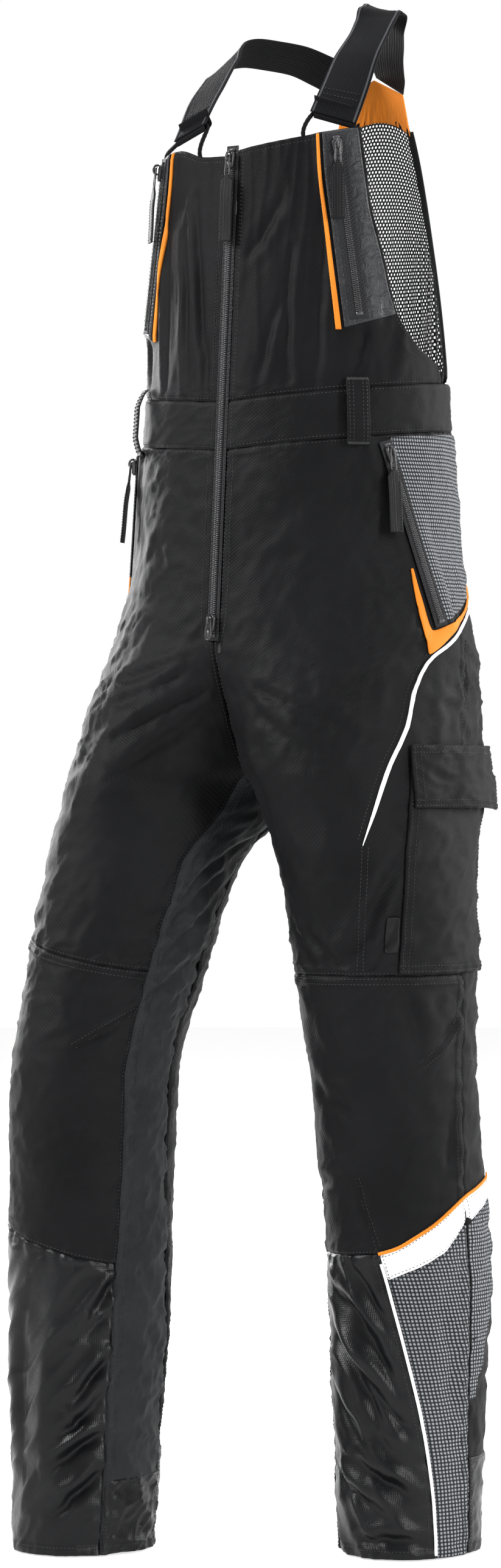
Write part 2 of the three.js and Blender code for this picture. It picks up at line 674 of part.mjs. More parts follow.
// Tape and closed teeth in one strip: a flat band with a raised middle.
const zipOutline = [[-TAPE.half, 0], [TAPE.half, 0], [TAPE.half, TAPE.thick],
  [CHAIN.half, TAPE.thick], [CHAIN.half, CHAIN.thick], [-CHAIN.half, CHAIN.thick],
  [-CHAIN.half, TAPE.thick], [-TAPE.half, TAPE.thick]];

const SLIDER = { half: 4.6, length: 15, thick: 2.6, clear: 0.5, lug: 3.2, lugThick: 1.3 };
const PULL = { barrel: 1.3, half: 2.4, stem: 18, thick: 1.2 };
const RIBBON = { half: 6.5, thick: 1.2 };

const sliderTop = CHAIN.thick + SLIDER.clear + SLIDER.thick;
const hingeOut = sliderTop + 1.9;

// A box in a local frame: ranges along, across and out, in mm from an origin.
function localBox(origin, axes, along, across, out) {
  const size = [along, across, out].map(([a, b]) => b - a);
  const box = new THREE.BoxGeometry(...size);
  const basis = new THREE.Matrix4().makeBasis(...axes);
  const middle = [along, across, out].map(([a, b]) => (a + b) / 2);
  box.translate(...middle);
  basis.setPosition(origin);
  return righted(box.applyMatrix4(basis));
}

// The slider rides on the chain; two lugs on it hold the pull's barrel between them.
function slider(frame, at) {
  const origin = frame.start.clone().addScaledVector(frame.along, at);
  const axes = [frame.along, frame.across, frame.out];
  const shell = [[-SLIDER.half, 0], [SLIDER.half, 0], [SLIDER.half, SLIDER.thick - 1],
    [SLIDER.half - 1.4, SLIDER.thick], [1.4 - SLIDER.half, SLIDER.thick],
    [-SLIDER.half, SLIDER.thick - 1]].map(([x, y]) => [x, y + CHAIN.thick + SLIDER.clear]);
  const pieces = [alongChain({ ...frame, start: origin }, shell, 0, SLIDER.length)];
  for (const s of [-1, 1]) {
    const inner = s * (PULL.half + 0.5);
    const outer = s * (PULL.half + 0.5 + SLIDER.lugThick);
    const span = [Math.min(inner, outer), Math.max(inner, outer)];
    pieces.push(localBox(origin, axes, [2, 6.5], span, [sliderTop - 0.3, sliderTop + SLIDER.lug]));
  }
  return join(pieces);
}

// The pull: a barrel between the lugs, a stem and, where there is one, the ribbon on it.
// It lies along the cloth, straight down from the barrel.
function pull(frame, at, ribbonLength) {
  const hinge = frame.start.clone().addScaledVector(frame.along, at + 4.2)
    .addScaledVector(frame.out, hingeOut);
  const down = v3(0, 0, -1).addScaledVector(frame.out, frame.out.z).normalize();
  const across = down.clone().cross(frame.out).normalize();
  const axes = [down, across, frame.out];
  const barrel = new THREE.CylinderGeometry(PULL.barrel, PULL.barrel, 2 * PULL.half - 0.4, 12);
  const basis = new THREE.Matrix4().makeBasis(down, across, frame.out.clone());
  basis.setPosition(hinge);
  const rise = [-0.4, -0.4 + PULL.thick];
  const pieces = [righted(barrel.applyMatrix4(basis)),
    localBox(hinge, axes, [0, 9], [-1.2, 1.2], rise),
    localBox(hinge, axes, [8, PULL.stem], [-PULL.half, PULL.half], rise)];
  if (ribbonLength > 0) {
    const end = PULL.stem - 1 + ribbonLength;
    pieces.push(localBox(hinge, axes, [PULL.stem - 1, end], [-RIBBON.half, RIBBON.half], rise));
  }
  return join(pieces);
}

// Smallest lift that keeps a straight line off the body by a given clearance.
function straightOver(side, a, b, clearance) {
  const start = onBody(side, a.angle, a.z, clearance);
  const end = onBody(side, b.angle, b.z, clearance);
  const middle = onBody(side, (a.angle + b.angle) / 2, (a.z + b.z) / 2, clearance);
  const normal = bodyNormal(side, (a.angle + b.angle) / 2, (a.z + b.z) / 2);
  const chord = start.clone().add(end).multiplyScalar(0.5);
  const bulge = Math.max(0, middle.sub(chord).dot(normal)) + 0.4;
  return zipFrame(start.addScaledVector(normal, bulge), end.addScaledVector(normal, bulge), normal);
}

const zips = [];
const mainSlope = (131.5 - 100) / (1313 - 858);
const mainStart = v3(0, -100 - (1313 - 1303) * mainSlope + 0.2, 1303);
const mainEnd = v3(0, -100 - (1313 - FLY_BOTTOM) * mainSlope + 0.2, FLY_BOTTOM);
const mainNormal = v3(0, -1, mainSlope).normalize();
const mainFrame = zipFrame(mainStart, mainEnd, mainNormal);
zips.push({ name: 'main', frame: mainFrame, ribbon: 62 });
for (const side of [1, -1]) {
  const hand = side > 0 ? 'left' : 'right';
  const over = PROUD + PATCH + 0.7;
  const drop = side > 0 ? 0 : 8;
  const top = { angle: 45, z: 1309 - drop };
  zips.push({
    name: `chest_${hand}`, ribbon: 52,
    frame: straightOver(side, top, { angle: 52, z: 1146 }, over),
  });
  zips.push({
    name: `side_${hand}`, ribbon: 58,
    frame: straightOver(side, ZIP_TOP, ZIP_END, over),
  });
}
for (const { name, frame, ribbon } of zips) {
  add(`${name}_zip`, 'zip', alongChain(frame, zipOutline, 0, frame.length));
  add(`${name}_slider`, 'slider', slider(frame, 3));
  add(`${name}_pull`, 'slider', pull(frame, 3, ribbon));
}

// The fly's own slider sits at the zip's lower end, lugs upwards, with a bare pull.
const flyStart = mainFrame.length - 20;
add('fly_slider', 'slider', slider(mainFrame, flyStart));
add('fly_pull', 'slider', pull(mainFrame, flyStart, 0));

garment.position.set(0, 0, -SHOULDER_HEIGHT);

export default garment;
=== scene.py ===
import json
import math

import bpy
import numpy as np
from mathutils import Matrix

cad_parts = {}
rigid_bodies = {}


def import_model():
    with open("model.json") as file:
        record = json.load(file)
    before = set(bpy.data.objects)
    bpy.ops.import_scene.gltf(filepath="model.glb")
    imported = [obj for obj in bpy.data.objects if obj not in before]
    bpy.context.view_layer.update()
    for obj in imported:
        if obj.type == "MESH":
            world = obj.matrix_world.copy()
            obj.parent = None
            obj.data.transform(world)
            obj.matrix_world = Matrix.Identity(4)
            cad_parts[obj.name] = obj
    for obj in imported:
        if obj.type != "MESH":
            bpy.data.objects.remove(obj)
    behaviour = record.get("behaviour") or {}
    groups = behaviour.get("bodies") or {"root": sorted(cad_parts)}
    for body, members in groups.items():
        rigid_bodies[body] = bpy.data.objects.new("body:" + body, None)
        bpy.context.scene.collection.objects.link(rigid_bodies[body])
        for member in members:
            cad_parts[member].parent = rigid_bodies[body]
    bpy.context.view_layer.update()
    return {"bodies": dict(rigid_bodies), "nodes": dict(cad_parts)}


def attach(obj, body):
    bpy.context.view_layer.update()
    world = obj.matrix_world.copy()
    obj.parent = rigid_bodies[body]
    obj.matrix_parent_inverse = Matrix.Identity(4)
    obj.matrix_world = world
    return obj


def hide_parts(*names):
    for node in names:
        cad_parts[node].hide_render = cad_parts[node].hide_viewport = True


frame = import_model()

# Lengths in this script are millimetres and heights are above the floor, until mesh() turns
# them into the frame's metres.
MM = 0.001
SHOULDER = 1440.0
CLOTH = 1.6
MM_PER_DEGREE = 1.6  # of girth, roughly, where the exact figure does not matter
UPRIGHT = np.array([0, 0, 1.0])
SIDES = ((1, "left"), (-1, "right"))

# ---- camera, light, floor

CAMERA_AZIMUTH = math.radians(36)
CAMERA_DISTANCE = 4.3
CAMERA_SIDE = -0.043
EYE = -0.717


def look_towards(obj, target):
    away = obj.location - target
    obj.rotation_euler = away.to_track_quat("Z", "Y").to_euler()


def camera():
    data = bpy.data.cameras.new("camera")
    data.lens, data.sensor_width, data.clip_end = 106, 36, 60
    obj = bpy.data.objects.new("camera", data)
    ca, sa = math.cos(CAMERA_AZIMUTH), math.sin(CAMERA_AZIMUTH)
    obj.location = (CAMERA_DISTANCE * sa + CAMERA_SIDE * ca, -CAMERA_DISTANCE * ca + CAMERA_SIDE * sa, EYE)
    obj.rotation_euler = (math.pi / 2, 0, CAMERA_AZIMUTH)
    bpy.context.collection.objects.link(obj)
    bpy.context.scene.camera = obj


def area_light(name, place, size, watts):
    data = bpy.data.lights.new(name, "AREA")
    data.shape, data.size, data.size_y, data.energy = "RECTANGLE", size[0], size[1], watts
    obj = bpy.data.objects.new(name, data)
    obj.location = place
    bpy.context.collection.objects.link(obj)
    look_towards(obj, type(obj.location)((0, 0, -0.7)))


camera()
area_light("key", (-2.2, -2.6, 1.6), (0.8, 1.8), 240)
area_light("fill", (3.9, -0.9, 0.4), (0.7, 2.4), 150)
area_light("top", (0.2, 0.8, 2.6), (2.0, 2.0), 110)
area_light("rim_left", (2.2, 3.2, 0.6), (0.8, 2.6), 150)
area_light("rim_right", (-3.4, 1.4, 0.4), (0.8, 2.6), 150)
world = bpy.data.worlds.new("studio")
bpy.context.scene.world = world
world.use_nodes = True
sky = world.node_tree.nodes
direction = sky.new("ShaderNodeTexCoord")
parts = sky.new("ShaderNodeSeparateXYZ")
dimming = sky.new("ShaderNodeMapRange")
for socket, value in (("From Min", 0.35), ("From Max", 0.8), ("To Min", 1.0), ("To Max", 0.25)):
    dimming.inputs[socket].default_value = value
world.node_tree.links.new(direction.outputs["Generated"], parts.inputs[0])
world.node_tree.links.new(parts.outputs["Z"], dimming.inputs["Value"])
world.node_tree.links.new(dimming.outputs[0], sky["Background"].inputs["Strength"])
sky["Background"].inputs["Color"].default_value = (1, 1, 1, 1)
bpy.context.scene.view_settings.view_transform = "Standard"

# ---- curves and noise


def curve(pairs):
    x, y = (np.array(v, float) for v in zip(*pairs))
    h, rise = np.diff(x), np.diff(y)
    slope = rise / h
    m = np.empty(len(x))
    m[0], m[-1] = slope[0], slope[-1]
    for i in range(1, len(x) - 1):
        a, b = slope[i - 1], slope[i]
        m[i] = 2 * a * b / (a + b) if a * b > 0 else 0

    def value(q):
        q = np.clip(np.asarray(q, float), x[0], x[-1])
        i = np.clip(np.searchsorted(x, q, side="right") - 1, 0, len(h) - 1)
        t = (q - x[i]) / h[i]
        u = 1 - t
        return y[i] + t * rise[i] + t * u * (u * (m[i] * h[i] - rise[i]) + t * (rise[i] - m[i + 1] * h[i]))

    return value


def lerp(a, b, t):
    return a + (b - a) * t


def smooth(x):
    x = np.clip(x, 0, 1)
    return x * x * (3 - 2 * x)


def ramp(x, a, b):
    return smooth((np.asarray(x, float) - a) / (b - a))


def bell(x, width):
    return np.exp(-((x / width) ** 2))


def travelled(points):
    """Distance along a line of points, from its start."""
    return np.concatenate([[0], np.cumsum(np.linalg.norm(np.diff(points, axis=0), axis=1))])


def sample(at, d, values):
    """Rows of values, known at distances d, read at other distances."""
    return np.stack([np.interp(at, d, values[:, k]) for k in range(values.shape[1])], 1)


def noise(x, y, seed=0):
    """Gradient noise in two dimensions, from about -1 to 1."""
    x, y = np.broadcast_arrays(np.asarray(x, float), np.asarray(y, float))
    xi, yi = np.floor(x).astype(np.int64), np.floor(y).astype(np.int64)
    fx, fy = x - xi, y - yi

    def corner(i, j):
        h = ((xi + i) * 374761393 + (yi + j) * 668265263 + seed * 144269504) & 0xFFFFFFFF
        h = ((h ^ (h >> 13)) * 1274126177) & 0xFFFFFFFF
        a = (h ^ (h >> 16)) / 4294967296.0 * 2 * np.pi
        return np.cos(a) * (fx - i) + np.sin(a) * (fy - j)

    wx = fx * fx * fx * (fx * (fx * 6 - 15) + 10)
    wy = fy * fy * fy * (fy * (fy * 6 - 15) + 10)
    low = lerp(corner(0, 0), corner(1, 0), wx)
    high = lerp(corner(0, 1), corner(1, 1), wx)
    return 1.5 * lerp(low, high, wy)


def creases(x, y, seed):
    """Sharp ridges with soft hollows between them, about -0.35 to 0.55."""
    return (1 - np.abs(noise(x, y, seed)) * 1.6) ** 2 * 0.9 - 0.35


# ---- the body the cloth hangs on

SECTIONS = [
    (1340, 0, 128, 98.2, 118, 0, 0), (1211, 0, 146, 106.9, 116, 0, 0), (1111, 0, 151, 113.6, 114, 0, 0),
    (1067, 0, 153, 116.5, 115, 0, 0), (960, 0, 160, 123.7, 122, 0, 0), (858, 18, 159, 131.5, 129, 0, -8),
    (828, 50, 129, 134, 128, -2, -14), (800, 66, 115, 135, 125, -4, -24), (765, 78, 107, 134, 121, -7, -36),
    (738, 86, 101, 132, 116, -10, -46), (725, 93, 94, 130, 114, -11, -52),
    (700, 98.5, 90, 121, 105, -14, -63),
    (654, 109, 84.5, 106, 95, -25, -85), (545, 118, 77, 97, 85, -21, -119),
    (449, 123, 72.5, 86, 80, -17, -146),
    (268, 127, 71, 81, 79, 0, -149), (120, 127, 65, 75, 73, 0, -155), (0, 127, 59, 69, 67, 0, -160),
]
centre_x, radius_x, front, back, lean_left, lean_right = (
    curve([(s[0], s[k]) for s in reversed(SECTIONS)]) for k in range(1, 7)
)
CROTCH = 735


def body(side, angle, z):
    angle, z = np.broadcast_arrays(np.asarray(angle, float), np.asarray(z, float))
    c = np.cos(np.radians(angle))
    x = centre_x(z) + radius_x(z) * np.sin(np.radians(angle))
    place = lean_left(z)
    if side < 0:
        near = smooth(x / 100)
        below = smooth((CROTCH - z) / 95)
        place = place + (lean_right(z) - place) * (near + (1 - near) * below)
    return np.stack([side * x, place - np.where(c > 0, front(z), back(z)) * c, z], -1)


def unit(v):
    return v / np.maximum(np.linalg.norm(v, axis=-1, keepdims=True), 1e-9)


def normal(side, angle, z):
    along = body(side, angle + 0.5, z) - body(side, angle - 0.5, z)
    up = body(side, angle, z + 1.0) - body(side, angle, z - 1.0)
    return unit(np.cross(along, up)) * side


def per_degree(z):
    return np.radians(radius_x(z))


def inner_angle(z, x):
    return np.degrees(np.arcsin(np.clip((x - centre_x(z)) / radius_x(z), -1, 1)))


# ---- pattern lines


def waist_top(angle):
    return 1071 + 24 * np.abs(np.sin(np.radians(angle) / 2))


def waist_bottom(angle):
    return waist_top(angle) - 44


right_bib_top = curve([(0, 1297), (15, 1299), (34, 1309), (57, 1303)])
bib_top = {1: lambda angle: 1301 + 19 * angle / 57, -1: right_bib_top}
armhole = curve([(1089, 100), (1104, 96), (1119, 82), (1149, 70), (1197, 64), (1257, 58.5), (1330, 57)])
chest_seam = curve([(1134, 45), (1230, 40), (1290, 38), (1320, 38)])
seam_front = curve([(0, -55.5), (225, -58), (400, -63), (545, -62), (642, -64), (735, -61)])
gusset_back = curve([(0, -121), (150, -117), (300, -110), (450, -103), (600, -107), (735, -119)])
side_seam = curve([(24, 94), (165, 87), (351, 84), (546, 95), (900, 97), (1050, 97)])
left_knee_bottom = curve([(-65, 295), (16, 300), (57, 326), (84, 350), (128, 367)])
band_bottom = curve([(16, 273), (64, 301), (84, 325), (128, 348)])
shin_seam = curve([(24, 61), (81, 57), (135, 50), (189, 40), (264, 25), (297, 18)])
knee_top = {1: lambda a: 551 + 0 * a, -1: lambda a: 568 + 17 * np.sin(np.radians(a))}
knee_bottom = {1: left_knee_bottom, -1: lambda a: 305 + 20 * np.sin(np.radians(a))}
HEM = 24.0


def flat_line(v):
    return lambda q: v + 0 * np.asarray(q, float)


FLY_CLOSED, FLY_OPEN = 849, 862  # heights between which the front opening closes


def centre_front(z):
    return np.maximum(-61, inner_angle(z, lerp(0.05, 6, ramp(z, FLY_CLOSED, FLY_OPEN))))


def gusset_front(z):
    return np.where(z > CROTCH, centre_front(z), seam_front(z))


def centre_back(z):
    return np.minimum(180 - inner_angle(z, 0.05), 360 + gusset_back(z))


def crotch_height(angle):
    low, high = np.full(np.shape(angle), 700.0), np.full(np.shape(angle), 860.0)
    target = np.abs(np.sin(np.radians(angle)))
    for _ in range(30):
        mid = (low + high) / 2
        under = (centre_x(mid) - 0.05) / radius_x(mid) > target
        low, high = np.where(under, mid, low), np.where(under, high, mid)
    return low


# ---- zips' lines


class Zip:
    def __init__(self, start, end, face, room, ribbon, tape):
        self.start, self.end = start, end
        self.along = unit(end - start)
        self.across = unit(np.cross(self.along, face))
        self.out = unit(np.cross(self.across, self.along))
        self.length = float(np.linalg.norm(end - start))
        self.room, self.ribbon, self.tape = room, ribbon, tape

    def at(self, along, across, out):
        along, across, out = np.broadcast_arrays(*(np.asarray(v, float) for v in (along, across, out)))
        return (self.start + along[..., None] * self.along + across[..., None] * self.across
                + out[..., None] * self.out)


def straight_over(side, a, b, clearance, *facts):
    ends = [body(side, *p) + clearance * normal(side, *p) for p in (a, b)]
    middle = ((a[0] + b[0]) / 2, (a[1] + b[1]) / 2)
    face = normal(side, *middle)
    bulge = body(side, *middle) + clearance * face - (ends[0] + ends[1]) / 2
    bulge = max(0.0, float(np.dot(bulge, face))) + 0.4
    return Zip(ends[0] + bulge * face, ends[1] + bulge * face, face, *facts)


ZIP_CLEAR = 2.9
ZIP_TOP, ZIP_END = (62, 1030), (81, 868)
main_slope = (131.5 - 100) / (1313 - 858)
main_points = [np.array([0, -100 - (1313 - z) * main_slope + 0.2, z]) for z in (1303.0, 856.0)]
ZIPS = {"main": (0, Zip(*main_points, np.array([0, -1, main_slope]), 0.4, 62, 6.4))}
for side, hand, drop in ((1, "left", 0), (-1, "right", 8)):
    ZIPS["chest_" + hand] = (side, straight_over(side, (45, 1309 - drop), (52, 1146), ZIP_CLEAR, 2.6, 52,
                                                 8.5))
    ZIPS["side_" + hand] = (side, straight_over(side, ZIP_TOP, ZIP_END, ZIP_CLEAR, 2.6, 58, 6.5))

# ---- folds and creases

# Folds given one by one: side, points (girth angle, height), half-width, depth (minus is a valley).
FOLDS = [
    (1, [(22, 1254), (16, 1230), (8, 1203)], 6, -2.6), (1, [(25, 1210), (24, 1158), (25, 1089)], 5, -2.6),
    (1, [(38, 1224), (37, 1158), (35, 1083)], 6, -2.4), (1, [(21, 1161), (17, 1125), (14, 1083)], 5, -2.2),
    (1, [(56, 1170), (54, 1120), (50, 1092)], 6, -2.2), (1, [(70, 1140), (66, 1096)], 6, -2.0),
    (-1, [(41, 1269), (36, 1197), (31, 1080)], 6, -2.8), (-1, [(18, 1263), (12, 1155), (7, 1077)], 5, -2.6),
    (-1, [(24, 1233), (20, 1152), (17, 1077)], 5, -2.2), (-1, [(55, 1180), (50, 1090)], 6, -2.4),
    (-1, [(-26, 813), (-15, 795), (9, 759)], 6, -3.6), (-1, [(-5, 837), (5, 828), (19, 816)], 5, -2.4),
    (-1, [(-30, 790), (-20, 765), (-5, 730)], 7, -3.0), (-1, [(-12, 826), (2, 806), (24, 790)], 6, -2.4),
    (1, [(-8, 813), (7, 798), (29, 783)], 6, -3.2), (1, [(-12, 800), (-2, 775), (16, 752)], 7, -2.6),
    (1, [(-45, 771), (-44, 723), (-47, 678)], 7, -4.2), (1, [(-30, 770), (-28, 720), (-32, 670)], 8, -2.2),
    (1, [(21, 564), (36, 609), (55, 663)], 7, -2.8), (1, [(12, 560), (24, 590), (44, 640)], 6, -2.2),
    (1, [(34, 562), (44, 590), (54, 625)], 6, -2.2), (1, [(-16, 591), (-2, 576), (12, 558)], 5, -2.4),
    (1, [(-30, 600), (-14, 566)], 5, -2.2), (1, [(53, 537), (55, 510), (57, 480)], 7, -2.6),
    (1, [(78, 426), (75, 399), (71, 369)], 7, -2.6), (1, [(-40, 470), (-20, 440), (10, 425)], 9, -2.2),
    (1, [(-50, 350), (-30, 365), (-2, 368)], 8, -2.4), (1, [(93, 522), (75, 492), (55, 471)], 4, -2.6),
    (1, [(3, 369), (8, 338), (15, 303)], 4, -2.6), (-1, [(-61, 516), (-43, 500), (-25, 483)], 4, -2.6),
    (-1, [(-113, 684), (-84, 648), (-71, 618)], 7, -4.0),
    (-1, [(-101, 648), (-85, 621), (-70, 594)], 7, -3.4),
    (-1, [(-105, 624), (-87, 594), (-71, 567)], 7, -3.6),
    (-1, [(-105, 564), (-83, 549), (-69, 534)], 7, -3.0),
    (-1, [(-58, 270), (-48, 250), (-38, 234)], 6, -3.4), (-1, [(-56, 246), (-35, 220)], 6, -3.0),
    (-1, [(-56, 201), (-45, 186), (-34, 165)], 6, -4.0),
    (-1, [(-54, 171), (-40, 150), (-27, 135)], 6, -3.6),
    (-1, [(-54, 135), (-36, 122), (-19, 105)], 6, -4.0), (-1, [(-55, 99), (-36, 82), (-17, 60)], 6, -3.6),
    (-1, [(-20, 280), (-10, 200), (-4, 120)], 14, 3.0), (-1, [(10, 260), (22, 190), (18, 110)], 10, -2.6),
    (1, [(-31, 267), (-10, 250), (9, 222), (39, 147)], 8, -4.4),
    (1, [(-28, 219), (0, 190), (31, 147), (44, 138)], 8, -4.2),
    (1, [(-14, 114), (14, 96), (39, 81)], 7, -3.6), (1, [(-10, 39), (20, 42), (53, 39)], 6, -2.6),
    (1, [(-45, 240), (-20, 205), (5, 170), (20, 120)], 9, -3.6),
    (1, [(-40, 180), (-20, 150), (0, 130)], 8, -3.4),
    (1, [(-40, 100), (-10, 80), (20, 62)], 7, -3.0), (1, [(0, 280), (20, 240), (34, 200)], 7, -3.4),
    (1, [(60, 250), (72, 200), (70, 150)], 8, -2.2), (1, [(100, 330), (118, 318), (150, 322)], 7, -1.3),
    (1, [(98, 300), (124, 286), (160, 292)], 7, -1.3), (1, [(98, 262), (126, 250), (165, 258)], 7, -1.3),
    (1, [(98, 222), (124, 214), (160, 220)], 7, -1.3), (1, [(98, 185), (120, 180), (150, 186)], 6, -1.3),
    (-1, [(98, 330), (124, 318), (160, 325)], 7, -2.8), (-1, [(100, 280), (130, 268), (170, 276)], 7, -3.0),
    (-1, [(100, 225), (130, 216), (165, 224)], 7, -2.6), (-1, [(40, 640), (70, 620), (96, 626)], 8, -2.4),
    (-1, [(20, 600), (55, 588), (90, 596)], 7, -2.4), (-1, [(60, 760), (80, 720), (84, 670)], 9, -2.2),
]
for s in (1, -1):  # behind the thigh, under the seat and behind the knee
    for angle, z, run, drop, depth in (
        (140, 806, 34, 14, -3.8), (158, 780, 30, 12, -3.6), (128, 770, 26, 16, -3.0),
        (176, 752, 30, 12, -3.2),
        (150, 690, 30, -10, -2.6), (135, 560, 32, 10, -3.4), (160, 530, 34, 12, -3.8),
        (140, 500, 34, -6, -4.0),
        (168, 478, 30, 10, -3.8), (134, 452, 30, 12, -3.6), (160, 428, 28, -8, -3.2),
        (150, 140, 30, 10, -3.0),
        (130, 100, 26, -8, -2.8), (160, 72, 28, 8, -2.6), (30, 940, 18, -20, -1.8), (60, 900, 16, 22, -1.8),
        (130, 1010, 14, 26, -1.6), (150, 960, 10, 30, -1.8), (168, 900, 8, 34, -1.8)):
        jig = 6 * s
        FOLDS.append((s, [(angle - run / 2, z + drop + jig), (angle, z - jig), (angle + run / 2, z + drop)],
                      7.5, 0.7 * depth))


def from_stretch(angle, z, scale, start, end):
    """Share along a stretch of line of its nearest point, distance from it, and which side."""
    (a0, z0), (a1, z1) = start, end
    run, rise = (a1 - a0) * scale, z1 - z0
    px, pz = (angle - a0) * scale, z - z0
    t = np.clip((px * run + pz * rise) / (run * run + rise * rise), 0, 1)
    dx, dz = px - t * run, pz - t * rise
    return t, np.hypot(dx, dz), run * dz - rise * dx > 0


def folds(side, angle, z):
    total = np.zeros(np.shape(z))
    scale = per_degree(z)
    for s, points, width, depth in FOLDS:
        if s != side:
            continue
        reach = np.full(total.shape, 1e9)
        signed = np.zeros(total.shape)
        share = np.zeros(total.shape)
        steps = len(points) - 1
        for i in range(steps):
            t, d, above = from_stretch(angle, z, scale, points[i], points[i + 1])
            nearer = d < reach
            reach = np.where(nearer, d, reach)
            signed = np.where(nearer, np.where(above, d, -d), signed)
            share = np.where(nearer, (i + t) / steps, share)
        taper = np.sin(np.pi * np.clip(0.06 + 0.88 * share, 0, 1)) ** 0.7
        wander = signed + 1.6 * noise(share * 5, width + depth, 3)
        core = np.exp(-np.abs(wander / width) ** 1.5 * 1.2)
        bank = bell(wander - 1.5 * width, 1.1 * width)
        total += 1.35 * taper * depth * (core - 0.62 * bank) * np.exp(-np.maximum(reach - 5 * width, 0))
    return total


def region(side, angle, z):
    """How crumpled the cloth is, and how much of it is shin nylon, from 0 to 1."""
    front_half = ramp(angle, -66, -58) * (1 - ramp(angle, 84, 94))
    bottom = knee_bottom[side](np.clip(angle, -65, 128))
    shin = (1 - ramp(z, bottom - 14, bottom - 2)) * front_half
    seam = shin_seam(z)
    nylon = shin * (1 - ramp(angle, seam - 1, seam + 5)) if side > 0 else shin
    inner = (1 - front_half) * (1 - ramp(angle, -60, 0)) * (1 - ramp(z, 730, 790))
    rear = ramp(angle, 90, 104)
    bib = ramp(z, 1060, 1100)
    base = 1.0 + 0.15 * rear * (1 - bib) - 0.35 * bib
    base = base + 0.9 * bell(z - 800, 60) + 0.6 * bell(z - 560, 45)
    return base + 1.3 * nylon + 1.3 * inner, nylon


def pull_to_zips(side, points, height):
    for s, zipper in ZIPS.values():
        if s not in (0, side):
            continue
        rel = points - zipper.start
        along, across, out = (rel @ v for v in (zipper.along, zipper.across, zipper.out))
        reach = 7.0 if s == 0 else 9.5
        mask = 1 - ramp(np.abs(across), reach, reach + 15)
        mask = mask * ramp(along, -16, -3) * (1 - ramp(along, zipper.length + 2, zipper.length + 18))
        mask = mask * (np.abs(out) < 40)
        height = lerp(height, -out - zipper.room, mask)
    return height


THIGH_PIPING = [(121, 897), (109, 884), (97, 869), (85, 852), (74, 836.5), (66, 810), (61, 777), (52, 741),
                (42, 702), (33, 668)]
CALM_LINES = [(1, THIGH_PIPING), (1, [(float(shin_seam(v)), v) for v in (27, 95, 165, 235, 292)]),
              (1, [(a, float(left_knee_bottom(a)) - 8) for a in (17, 43, 70, 98, 126)])]


def calmed(side, angle, z):
    """Share of the creases that is left beside the stiff pipings and tape."""
    scale = per_degree(z)
    left = np.ones(np.shape(z))
    for s, line in CALM_LINES:
        if s != side:
            continue
        for start, end in zip(line, line[1:]):
            distance = from_stretch(angle, z, scale, start, end)[1]
            left = np.minimum(left, 0.3 + 0.7 * ramp(distance, 7, 24))
    return left


def relief(side, angle, z):
    """Height of the hanging cloth over the plain body, in millimetres."""
    angle, z = np.broadcast_arrays(np.asarray(angle, float), np.asarray(z, float))
    u = angle * per_degree(z)
    amount, nylon = region(side, angle, z)
    seed = 5 if side > 0 else 9
    lean = 0.5 * side
    x, y = u + lean * z, z - lean * u
    slow = noise(u / 62, z / 95, seed) * 1.5
    broad = creases(x / 46, y / 34, seed + 1) * 1.1 + noise(x / 26, y / 38, seed + 2) * 0.5
    fine = creases(x / 23, y / 13, seed + 3) * 0.75 + creases(x / 12, y / 6.5, seed + 4) * 0.3
    satin_x, satin_y = 0.66 * u - 0.75 * z, 0.75 * u + 0.66 * z
    satin = creases(satin_x / 80, satin_y / 22, seed + 8) * 0.9 + noise(satin_x / 40, satin_y / 12,
                                                                        seed + 9) * 0.35
    bib = ramp(z, 1075, 1110)
    upright = creases(u / 15, z / 120, seed + 6) * 1.1 + noise(u / 9, z / 60, seed + 7) * 0.4
    wave = lerp(lerp(broad + fine, satin, nylon), upright + 0.4 * fine, bib)
    height = slow + 1.25 * amount * wave + folds(side, angle, z) * (1 + 0.5 * nylon)
    height = height * calmed(side, angle, z)
    middle = np.abs(body(side, angle, z)[..., 0])
    height = height * ramp(middle, -6, 16) + (ramp(middle, 0, 10) - 1) * 0.6 * (z < 860)
    height = np.clip(height, -9, 8)
    if np.min(z) > 820 or np.max(z) > 840:
        height = pull_to_zips(side, body(side, angle, z), height)
    return height


# ---- meshes


def volume(verts, faces):
    a, b, c, d = (verts[faces[:, k]] for k in range(4))
    return float(np.sum(a * np.cross(b, c)) + np.sum(a * np.cross(c, d)))


def mesh(name, verts, faces, material, ride="garment", slot=None, uv=None, marks=None):
    """A piece from points in millimetres over the floor; marks are per-point attributes.

    A piece with the name of a CAD node stands for that node.
    """
    verts = np.asarray(verts, float)
    node = name if name in frame["nodes"] else None
    name = node + "_fine" if node else name
    data = bpy.data.meshes.new(name)
    place = (verts - np.array([0, 0, SHOULDER])) * MM
    data.from_pydata(place.tolist(), [], faces.tolist() if isinstance(faces, np.ndarray) else faces)
    data.polygons.foreach_set("use_smooth", [True] * len(data.polygons))
    if uv is not None:
        layer = data.uv_layers.new(name="cloth")
        loops = np.empty(len(data.loops), np.int32)
        data.loops.foreach_get("vertex_index", loops)
        layer.data.foreach_set("uv", (np.asarray(uv)[loops] * MM).ravel())
    for key, values in (marks or {}).items():
        data.attributes.new(key, "FLOAT", "POINT").data.foreach_set("value", np.asarray(values, np.float32))
    data.materials.append(material)
    data.update()
    obj = bpy.data.objects.new(name, data)
    bpy.context.collection.objects.link(obj)
    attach(obj, ride)
    if node:
        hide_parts(node)
    return obj


def grid_faces(rows, cols, start=0):
    i, j = np.meshgrid(np.arange(rows - 1), np.arange(cols - 1), indexing="ij")
    a = (start + i * cols + j).ravel()
    return np.stack([a, a + 1, a + cols + 1, a + cols], 1)


